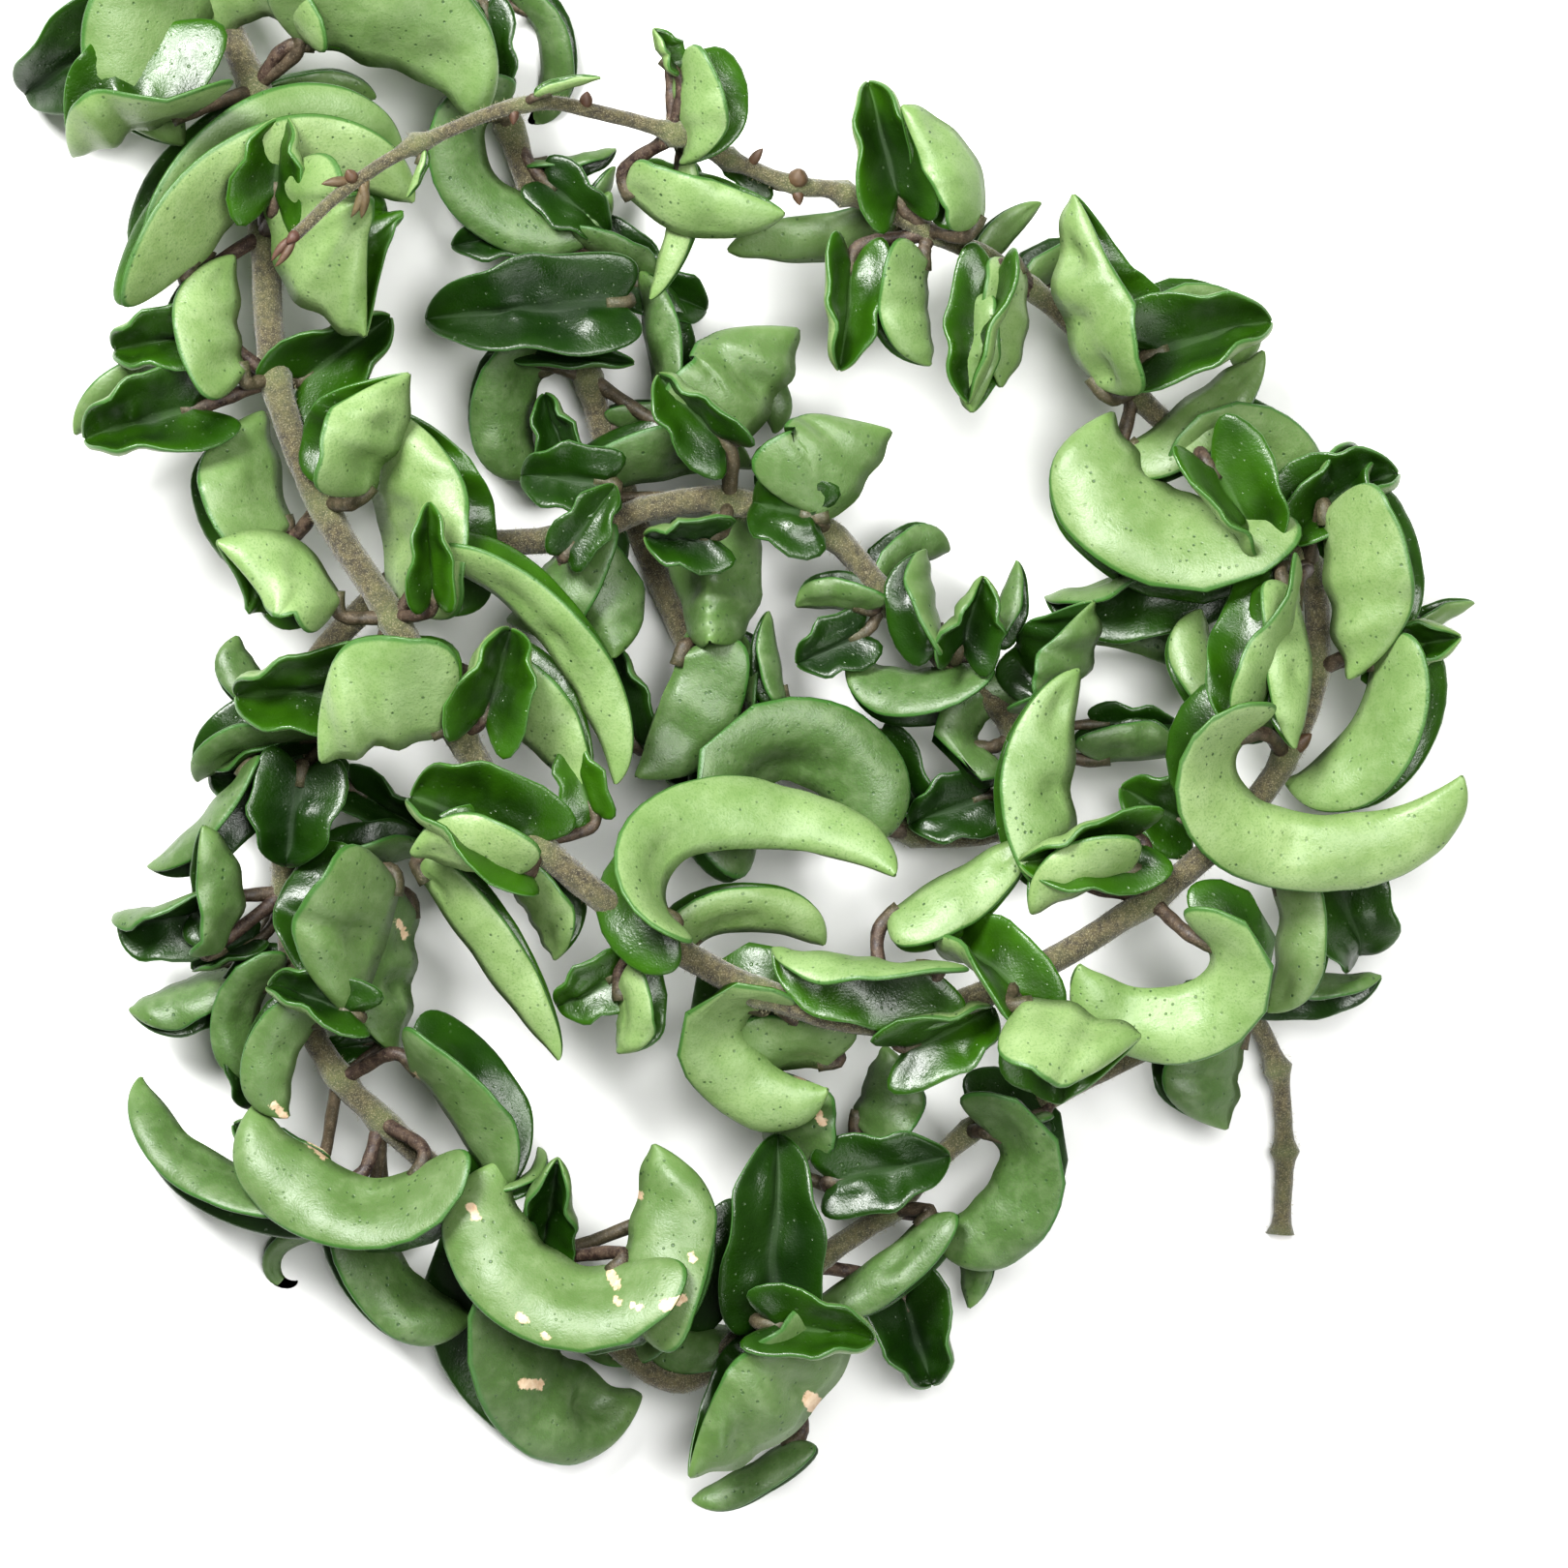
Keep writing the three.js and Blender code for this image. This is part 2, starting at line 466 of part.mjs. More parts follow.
// A point of the blade's middle surface. The place across runs from -1 at one margin to 1 at the other.
function bladePoint(row, form, frames, share, place) {
  const [, , , , , , , , , length, halfWidth] = row;
  const out = Math.abs(place);
  const side = place > 0 ? 1 : -1;
  const reach = form.lobe * halfWidth * out ** 1.5 * Math.sin(Math.PI * roundedFoot(share));
  const frame = frameAt(frames, length, share * length - reach);
  const opened = Math.min(Math.max(share - reach / length, 0) * 1.6, 1);
  const atMidrib = THREE.MathUtils.lerp(form.foot[0], form.blade[0], opened) * DEGREE;
  const atMargin = THREE.MathUtils.lerp(form.foot[1], form.blade[1], opened) * DEGREE;
  const angle = THREE.MathUtils.lerp(atMidrib, atMargin, out);
  const radius = (halfWidth * bladeOutline(share, form.taper)) / (atMargin - atMidrib);
  const waves = Math.sin(2 * Math.PI * (2.2 * share + 0.25 * side)) * Math.sin(Math.PI * share);
  const across = radius * (Math.sin(angle) - Math.sin(atMidrib)) + form.wave * out ** 2 * waves;
  const up = radius * (Math.cos(atMidrib) - Math.cos(angle));
  const sideways = frame.along.clone().cross(frame.opening);
  return frame.point.addScaledVector(sideways, side * across).addScaledVector(frame.opening, up);
}

function bladeNormal(row, form, frames, share, place) {
  const small = 0.01;
  const ahead = bladePoint(row, form, frames, share + small, place);
  const behind = bladePoint(row, form, frames, share - small, place);
  const right = bladePoint(row, form, frames, share, place + small);
  const left = bladePoint(row, form, frames, share, place - small);
  return right.sub(left).cross(ahead.sub(behind)).normalize();
}

// One blade: two faces that meet at the margin, the foot and the tip, with alike triangles on both.
function blade(row) {
  const form = LEAF_FORMS[row[1]];
  const halfWidth = row[10];
  const frames = midribFrames(row, form);
  const large = halfWidth >= LARGE_HALF_WIDTH;
  const shares = large ? LARGE_ROWS : halfWidth >= SMALL_HALF_WIDTH ? MIDDLING_ROWS : SMALL_ROWS;
  const wing = halfWidth >= SMALL_HALF_WIDTH ? 2 : 1;
  const columns = 2 * wing + 1;
  const points = [bladePoint(row, form, frames, 0, 0), bladePoint(row, form, frames, 1, 0)];
  const [foot, tip] = [0, 1];
  const faces = [[], []];
  for (const share of shares) {
    for (let j = -wing; j <= wing; j++) {
      const place = j / wing;
      const middle = bladePoint(row, form, frames, share, place);
      if (Math.abs(j) === wing) {
        faces.forEach((face) => face.push(points.length));
        points.push(middle);
        continue;
      }
      const thin = (1 - place ** 4) * (1 - 0.2 * Math.max(0, 2 * share - 1) ** 3);
      const lift = bladeNormal(row, form, frames, share, place);
      lift.multiplyScalar((BLADE_THICKNESS / 2) * thin);
      faces[0].push(points.length);
      points.push(middle.clone().add(lift));
      faces[1].push(points.length);
      points.push(middle.clone().sub(lift));
    }
  }
  const triangles = [];
  faces.forEach((face, under) => {
    const add = (a, b, c) => triangles.push(under ? [a, c, b] : [a, b, c]);
    const lastRow = (shares.length - 1) * columns;
    for (let j = 0; j + 1 < columns; j++) {
      add(foot, face[j + 1], face[j]);
      add(face[lastRow + j], face[lastRow + j + 1], tip);
      for (let i = 0; i < lastRow; i += columns) {
        const [a, b] = [face[i + j], face[i + j + 1]];
        const [c, d] = [face[i + columns + j], face[i + columns + j + 1]];
        if (j < wing) {
          add(a, b, d);
          add(a, d, c);
        } else {
          add(a, b, c);
          add(b, d, c);
        }
      }
    }
  });
  return closedSolid(points, triangles);
}

// The stalk, from the middle of the stem into the midrib of its blade.
function stalk(row, route) {
  const node = new THREE.Vector3(...route[row[0]]);
  const foot = footFrame(row);
  const length = node.distanceTo(foot.point);
  const curve = new THREE.CubicBezierCurve3(
    node,
    node.clone().lerp(foot.point, 0.4),
    foot.point.clone().addScaledVector(foot.along, -Math.min(0.35 * length, 5)),
    foot.point,
  );
  const line = length > LONG_STALK ? [0, 0.55, 1].map((share) => curve.getPoint(share)) : [node, foot.point.clone()];
  line.push(foot.point.clone().addScaledVector(foot.along, STALK_SUNK));
  return tube(
    line,
    line.map(() => STALK_RADIUS),
    STALK_SIDES,
  );
}

// A whole vine as one body: stem, stalks and blades, cut level where it rests.
function vine(route, radii, leaves) {
  const parts = [stem(route, radii, leaves)];
  for (const row of leaves) {
    parts.push(stalk(row, route));
    parts.push(blade(row));
  }
  const whole = wasm.Manifold.union(parts).trimByPlane([0, 0, 1], REST_LEVEL);
  return smoothed(whole);
}

// Crossing blades can shut in a small pocket: only the outer skins are kept.
function withoutPockets(solid) {
  const skins = solid.decompose().filter((skin) => skin.volume() > SMALLEST_SKIN);
  return skins.length === 1 ? skins[0] : wasm.Manifold.compose(skins);
}

// Middles of the edges along which two sheets of the surface only touch, as no closed body may.
function pinchedPlaces(solid) {
  const { numProp, vertProperties, triVerts } = solid.getMesh();
  const corners = new Map();
  const edges = new Map();
  const cornerOf = (vertex) => {
    const place = Array.from(vertProperties.subarray(vertex * numProp, vertex * numProp + 3));
    const key = place.map((value) => value.toFixed(4)).join(" ");
    if (!corners.has(key)) corners.set(key, { id: corners.size, place });
    return corners.get(key);
  };
  for (let i = 0; i < triVerts.length; i += 3) {
    const face = [0, 1, 2].map((k) => cornerOf(triVerts[i + k]));
    if (new Set(face).size < 3) continue;
    face.forEach((a, k) => {
      const b = face[(k + 1) % 3];
      const key = Math.min(a.id, b.id) + " " + Math.max(a.id, b.id);
      if (!edges.has(key)) edges.set(key, { a, b, uses: 0 });
      edges.get(key).uses += 1;
    });
  }
  const pinched = [...edges.values()].filter((edge) => edge.uses !== 2);
  return pinched.map(({ a, b }) => a.place.map((value, axis) => (value + b.place[axis]) / 2));
}

// The joined body with its finest steps smoothed away and a small bead where sheets only touched.
function smoothed(solid) {
  let body = withoutPockets(withoutPockets(solid).asOriginal().simplify(SMALLEST_STEP));
  for (let trial = 0; trial < 10; trial++) {
    const places = pinchedPlaces(body);
    if (places.length === 0) return body;
    const beads = places.map((place) => wasm.Manifold.sphere(BEAD_RADIUS, 6).translate(place));
    body = withoutPockets(wasm.Manifold.union([body, ...beads]));
  }
  throw new Error("two sheets of the surface still touch along an edge");
}

function meshOf(name, solid, colour, roughness) {
  const { numProp, vertProperties, triVerts } = solid.getMesh();
  const position = [];
  for (const vertex of triVerts) {
    position.push(vertProperties[vertex * numProp] - MIDDLE_X);
    position.push(vertProperties[vertex * numProp + 1] - MIDDLE_Y);
    position.push(vertProperties[vertex * numProp + 2] - REST_LEVEL);
  }
  const geometry = new THREE.BufferGeometry();
  geometry.setAttribute("position", new THREE.Float32BufferAttribute(position, 3));
  const mesh = new THREE.Mesh(geometry, new THREE.MeshStandardMaterial({ color: colour, roughness }));
  mesh.name = name;
  return mesh;
}

const plant = new THREE.Group();
plant.add(meshOf("long_vine", vine(LONG_ROUTE, LONG_STEM_RADIUS, LONG_LEAVES), "#7fa865", 0.45));
plant.add(meshOf("coiled_vine", vine(COILED_ROUTE, COILED_STEM_RADIUS, COILED_LEAVES), "#5d8a4c", 0.5));

export default plant;
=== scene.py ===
"""Looks of the hindu rope plant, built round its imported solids.

Two cut vines lie one over the other. Stems, stalks and leaves are made here from the same routes and
leaf rows as the solids, only finer. The tables are in millimetres, measured from the middle of the
photograph and from a level 7.8 mm below the surface. Everything built from them is in metres."""

import math
from collections import namedtuple

import bpy
import numpy as np
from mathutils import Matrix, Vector


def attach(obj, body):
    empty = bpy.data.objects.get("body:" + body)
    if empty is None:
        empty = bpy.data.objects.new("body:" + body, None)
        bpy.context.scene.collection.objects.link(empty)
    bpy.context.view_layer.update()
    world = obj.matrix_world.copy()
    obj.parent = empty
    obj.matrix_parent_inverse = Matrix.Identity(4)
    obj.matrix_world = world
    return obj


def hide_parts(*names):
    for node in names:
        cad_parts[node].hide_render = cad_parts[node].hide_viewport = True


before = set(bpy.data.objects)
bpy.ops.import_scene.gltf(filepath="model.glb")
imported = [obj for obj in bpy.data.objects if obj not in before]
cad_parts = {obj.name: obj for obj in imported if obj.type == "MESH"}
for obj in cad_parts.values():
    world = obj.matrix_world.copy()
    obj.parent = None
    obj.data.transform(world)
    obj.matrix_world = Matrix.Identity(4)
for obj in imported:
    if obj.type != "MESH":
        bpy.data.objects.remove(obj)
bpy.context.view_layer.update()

MM = 0.001
DEGREE = math.pi / 180

# The origin of the solids, in the tables' millimetres
ORIGIN = np.array([-8.5, 15.3, 7.8])

# Camera over the middle of the photograph: its height, and a level with the width seen at that level
CAMERA_HEIGHT = 1200
FRAME_HEIGHT = 35
FRAME_WIDTH = 259.2
SENSOR_WIDTH = 36
CAMERA_CLIP = (0.1, 5)

# Area lights: place, size and power, in metres and watts
LIGHTS = {
    "key": ((-0.45, 0.6, 0.95), 0.4, 24),
    "top": ((0.25, 0.1, 1.1), 0.5, 11),
    "front": ((0.3, -0.9, 0.6), 0.5, 3),
}
SKY_STRENGTH = 0.15
FLOOR_HALF = 1.6

# Radius of each stem from its first to its last point
LONG_STEM_RADII = (2.5, 2.3, 2.1, 1.5, 1.0)
COILED_STEM_RADII = (1.5, 2.0, 2.2, 2.1, 2.2)

# Route of each stem as listed points: x, y, z. A point that carries leaves is a node.
LONG_ROUTE = (
    (-103, 148, 30), (-96, 132, 30), (-88, 115, 31), (-86, 91, 33), (-84, 67, 36), (-76, 46, 41),
    (-64, 27, 46), (-53, 8, 49), (-40, -10, 49), (-22, -24, 48), (-4, -34, 47), (17, -39, 46),
    (38, -32, 45), (60, -19, 43), (74, -7, 40), (83, 5, 37), (88, 19, 34), (87, 36, 31), (79, 46, 29),
    (69, 55, 28), (58, 65, 29), (50, 74, 31), (41, 82, 33), (33, 87, 36), (24, 91, 39), (10, 97, 43),
    (2, 98, 46), (-9, 102, 49), (-18, 106, 52), (-30, 109, 56), (-42, 110, 60), (-59, 103, 65),
    (-70, 96, 67), (-78.5, 88, 69),
)

COILED_ROUTE = (
    (84, -76, 9.3), (84.5, -62, 10), (83, -48, 12), (77, -39, 16), (62, -44, 20), (45, -52, 22),
    (31, -58, 22), (18, -71, 22), (5, -80, 23), (-4, -89, 24), (-17, -100, 21), (-30, -92, 21),
    (-40, -79, 23), (-54, -68, 24), (-67, -56, 25), (-74, -49, 25), (-81, -36, 24), (-83, -18, 23),
    (-84, -2, 21), (-82, 14, 19), (-72, 28, 17), (-57, 39, 20), (-36, 41, 26), (-22, 46, 28),
    (-9, 47, 29), (7, 42, 29), (17, 31, 28), (28, 20, 26), (39, 8, 24), (38, -6, 19), (22, -8, 15),
    (5, 2, 14), (-11, 15, 14), (-20, 32, 14), (-28, 52, 15), (-33, 68, 16), (-38, 86, 17),
    (-46, 110, 18), (-52, 128, 18), (-60, 148, 18),
)

# Leaves. Each row: stem point, form, foot of the blade (x, y, z), heading, pitch, roll and twist in
# degrees, length and half width, and how far the midrib turns from foot to tip in degrees.
Leaf = namedtuple("Leaf", "node form x y z heading pitch roll twist length half_width bend")
LONG_LEAVES = (
    (1, "shell", -91, 134, 34, 232, 5, -80, 10, 30, 22, 40),
    (1, "open", -102, 132, 26, 215, -5, 10, 0, 34, 10, 40),
    (2, "cup", -98, 110, 44, 200, -5, -55, 0, 20, 17, 0),
    (2, "shell", -80, 122, 37, -2, 0, 76, 10, 33, 20, 38),
    (2, "pod", -80, 124, 38, 110, 0, -60, 0, 20, 11, 120),
    (2, "boat", -86, 113, 26, 10, 0, 80, 0, 18, 6, 10),
    (3, "heart", -98, 84, 44, 60, 0, 80, 0, 42, 16, 78),
    (3, "shell", -96, 86, 36, 66, 0, 76, 0, 40, 18, 70),
    (3, "shell", -85, 98, 46, -102, 0, 78, 0, 33, 24, -85),
    (4, "shell", -89, 67, 40, 100, 0, 78, 0, 20, 13, 10),
    (4, "cup", -97, 62, 38, 195, 5, -5, 0, 19, 11, 10),
    (4, "boat", -99, 70, 32, 213, 0, -85, 0, 22, 7, 0),
    (4, "cup", -80, 67, 33, 35, 0, -10, 0, 18, 10, 0),
    (5, "shell", -69, 47, 48, 45, 0, 72, 0, 22, 16, -45),
    (5, "shell", -82, 42, 34, 102, 0, 80, 0, 20, 16, 0),
    (6, "shell", -63, 29, 40, 112, 0, -78, 0, 34, 20, -30),
    (6, "boat", -57, 30, 54, 92, 10, 0, 0, 16, 6, 0),
    (6, "shell", -73, 29, 48, 92, 5, 66, 0, 27, 15, -110),
    (6, "cup", -71, 17, 40, 188, -5, 10, 0, 20, 11, 10),
    (6, "boat", -54, 36, 50, -25, 0, 75, 20, 46, 9, 50),
    (7, "shell", -55, 9, 54, 200, 0, -88, 0, 21, 21, -10),
    (7, "cup", -49, 11, 52, 72, 0, -10, 0, 15, 9.5, 10),
    (7, "spear", -52, 18, 44, -55, 0, 75, 0, 28, 13, -20),
    (8, "open", -31, -5, 46, 110, 0, 10, 0, 13, 5, 10),
    (8, "cup", -45, -10, 50, 150, 5, -20, 0, 18, 13, 20),
    (8, "spear", -60, -14, 43, -58, -5, 80, 0, 39, 8.5, -8),
    (8, "boat", -46, -14, 42, -55, 0, 75, 0, 17, 10, 10),
    (9, "curl", -18, -22, 54, 150, 0, 54, 30, 50, 12, 185),
    (9, "open", -27, -31, 42, -150, 0, 10, 0, 12, 6, 20),
    (9, "pod", -27, -33, 44, -85, 0, 70, 0, 11, 8, 10),
    (9, "pod", -16, -27, 38, 50, 0, 80, 0, 24, 8, 75),
    (10, "curl", -4, -37, 42, 165, 0, -62, 10, 24, 12, 190),
    (11, "cup", 24, -30, 50, 178, 0, 50, 0, 26, 11, 10),
    (11, "cup", 20, -43, 44, 20, 0, -20, 0, 16, 9, 20),
    (11, "spear", 17, -22, 42, 38, 0, -80, 0, 28, 10, -15),
    (12, "shell", 38, -36, 54, 10, 0, -76, 0, 21, 17, -45),
    (12, "cup", 38, -35, 48, 120, 0, -30, 0, 18, 9, 80),
    (13, "curl", 69, -26, 50, -20, 0, 70, 20, 29, 12.5, 200),
    (13, "cup", 57, -9, 46, 190, 0, 15, 0, 19, 10, -10),
    (13, "spear", 48, -14, 42, 100, 0, 85, 0, 33, 13, 20),
    (15, "curl", 76, 8, 48, 195, 0, -68, 20, 50, 13, 205),
    (14, "pod", 82, -16, 30, -75, 0, 80, 0, 22, 9, 30),
    (14, "open", 90, -15, 28, -60, 0, 10, 0, 18, 9, 60),
    (16, "shell", 97, 21, 40, -85, 0, 74, 0, 27, 14, 75),
    (16, "spear", 104, 24, 32, 30, 0, 60, 0, 12, 4, 0),
    (17, "cup", 84, 31, 44, -95, 0, -60, 0, 26, 12, -35),
    (15, "pod", 78, 14, 34, 160, 0, 80, 0, 18, 9, 60),
    (17, "shell", 89, 45, 40, -90, 0, 78, 0, 28, 17, -15),
    (19, "cup", 70, 52, 42, -57, 0, 20, 0, 17, 10.5, 15),
    (19, "pod", 70, 54, 30, 50, 0, 70, 0, 24, 11, 150),
    (19, "pod", 72, 47, 36, 205, 0, 85, 0, 25, 19, 98),
    (19, "boat", 72, 40, 26, 205, 0, 40, 0, 30, 12, 20),
    (20, "cup", 61, 71, 38, 15, 0, 10, 0, 20, 11, 0),
    (20, "pod", 62, 74, 30, 60, 0, 70, 0, 18, 9, 120),
    (20, "spear", 57, 55, 32, 42, 0, -85, 0, 28, 10, -10),
    (20, "fin", 52, 65, 40, 128, 0, -68, 0, 34, 17, -62),
    (22, "pod", 43, 83, 28, 50, 0, 70, 0, 14, 7, 90),
    (22, "cup", 35, 84, 42, -100, 0, -25, 0, 22, 8, -10),
    (23, "spear", 33, 85, 30, 50, 0, 80, 0, 15, 5, 0),
    (24, "cup", 19, 96, 42, 105, 0, 0, 0, 20, 9, 0),
    (24, "cup", 11, 86, 40, -97, 0, 15, 0, 18, 8, -5),
    (24, "pod", 19, 93, 32, 235, 0, -85, 0, 30, 8, -70),
    (26, "boat", -2, 99, 40, 150, 0, 40, 0, 10, 4, 20),
    (28, "shell", -26, 98, 46, -62, 0, 76, 0, 30, 11, -95),
    (28, "spear", -17, 102, 44, -97, 0, 80, 0, 23, 5, 10),
    (28, "boat", -18, 116, 56, 140, 0, -40, 0, 8, 4, -60),
    (28, "shell", -18, 116, 52, -80, 0, 70, 0, 15, 12, 10),
    (30, "spear", -40, 111, 62, 15, 10, 60, 0, 11, 2, 0),
    (31, "spear", -58, 102, 65, -110, 0, 60, 0, 8, 1.6, 0),
    (22, "shell", 30, 80, 40, -122, 0, 76, 0, 20, 10, -65),
    (24, "shell", 23, 87, 40, -92, 0, -78, 0, 18, 10, 10),
    (3, "cup", -83, 96, 48, 82, 10, 10, 0, 13, 9, 0),
    (4, "cup", -97, 74, 40, 190, 0, 0, 0, 14, 8, 20),
    (17, "cup", 88, 43, 34, 60, 0, 0, 0, 15, 8, 20),
    (24, "shell", 31, 91, 46, 62, 0, 74, 0, 27, 10.5, -110),
    (8, "shell", -43, -15, 54, 168, 0, -80, 0, 18, 11, 0),
    (22, "shell", 38, 86, 38, -62, 0, -76, 0, 22, 10, -65),
    (17, "cup", 88, 45, 34, 25, 0, 20, 0, 15, 10, 0),
    (16, "cup", 99, 22, 34, 10, 0, 0, 0, 14, 8, -40),
    (17, "shell", 82, 33, 46, -60, 0, -80, 0, 28, 9, -50),
    (13, "shell", 57, -14, 48, 198, 0, -80, 0, 18, 10, 10),
    (14, "open", 67, -7, 34, 150, 0, 0, 0, 13, 7, 0),
    (10, "boat", 8, -46, 34, 188, 0, -85, 0, 20, 12, 0),
)

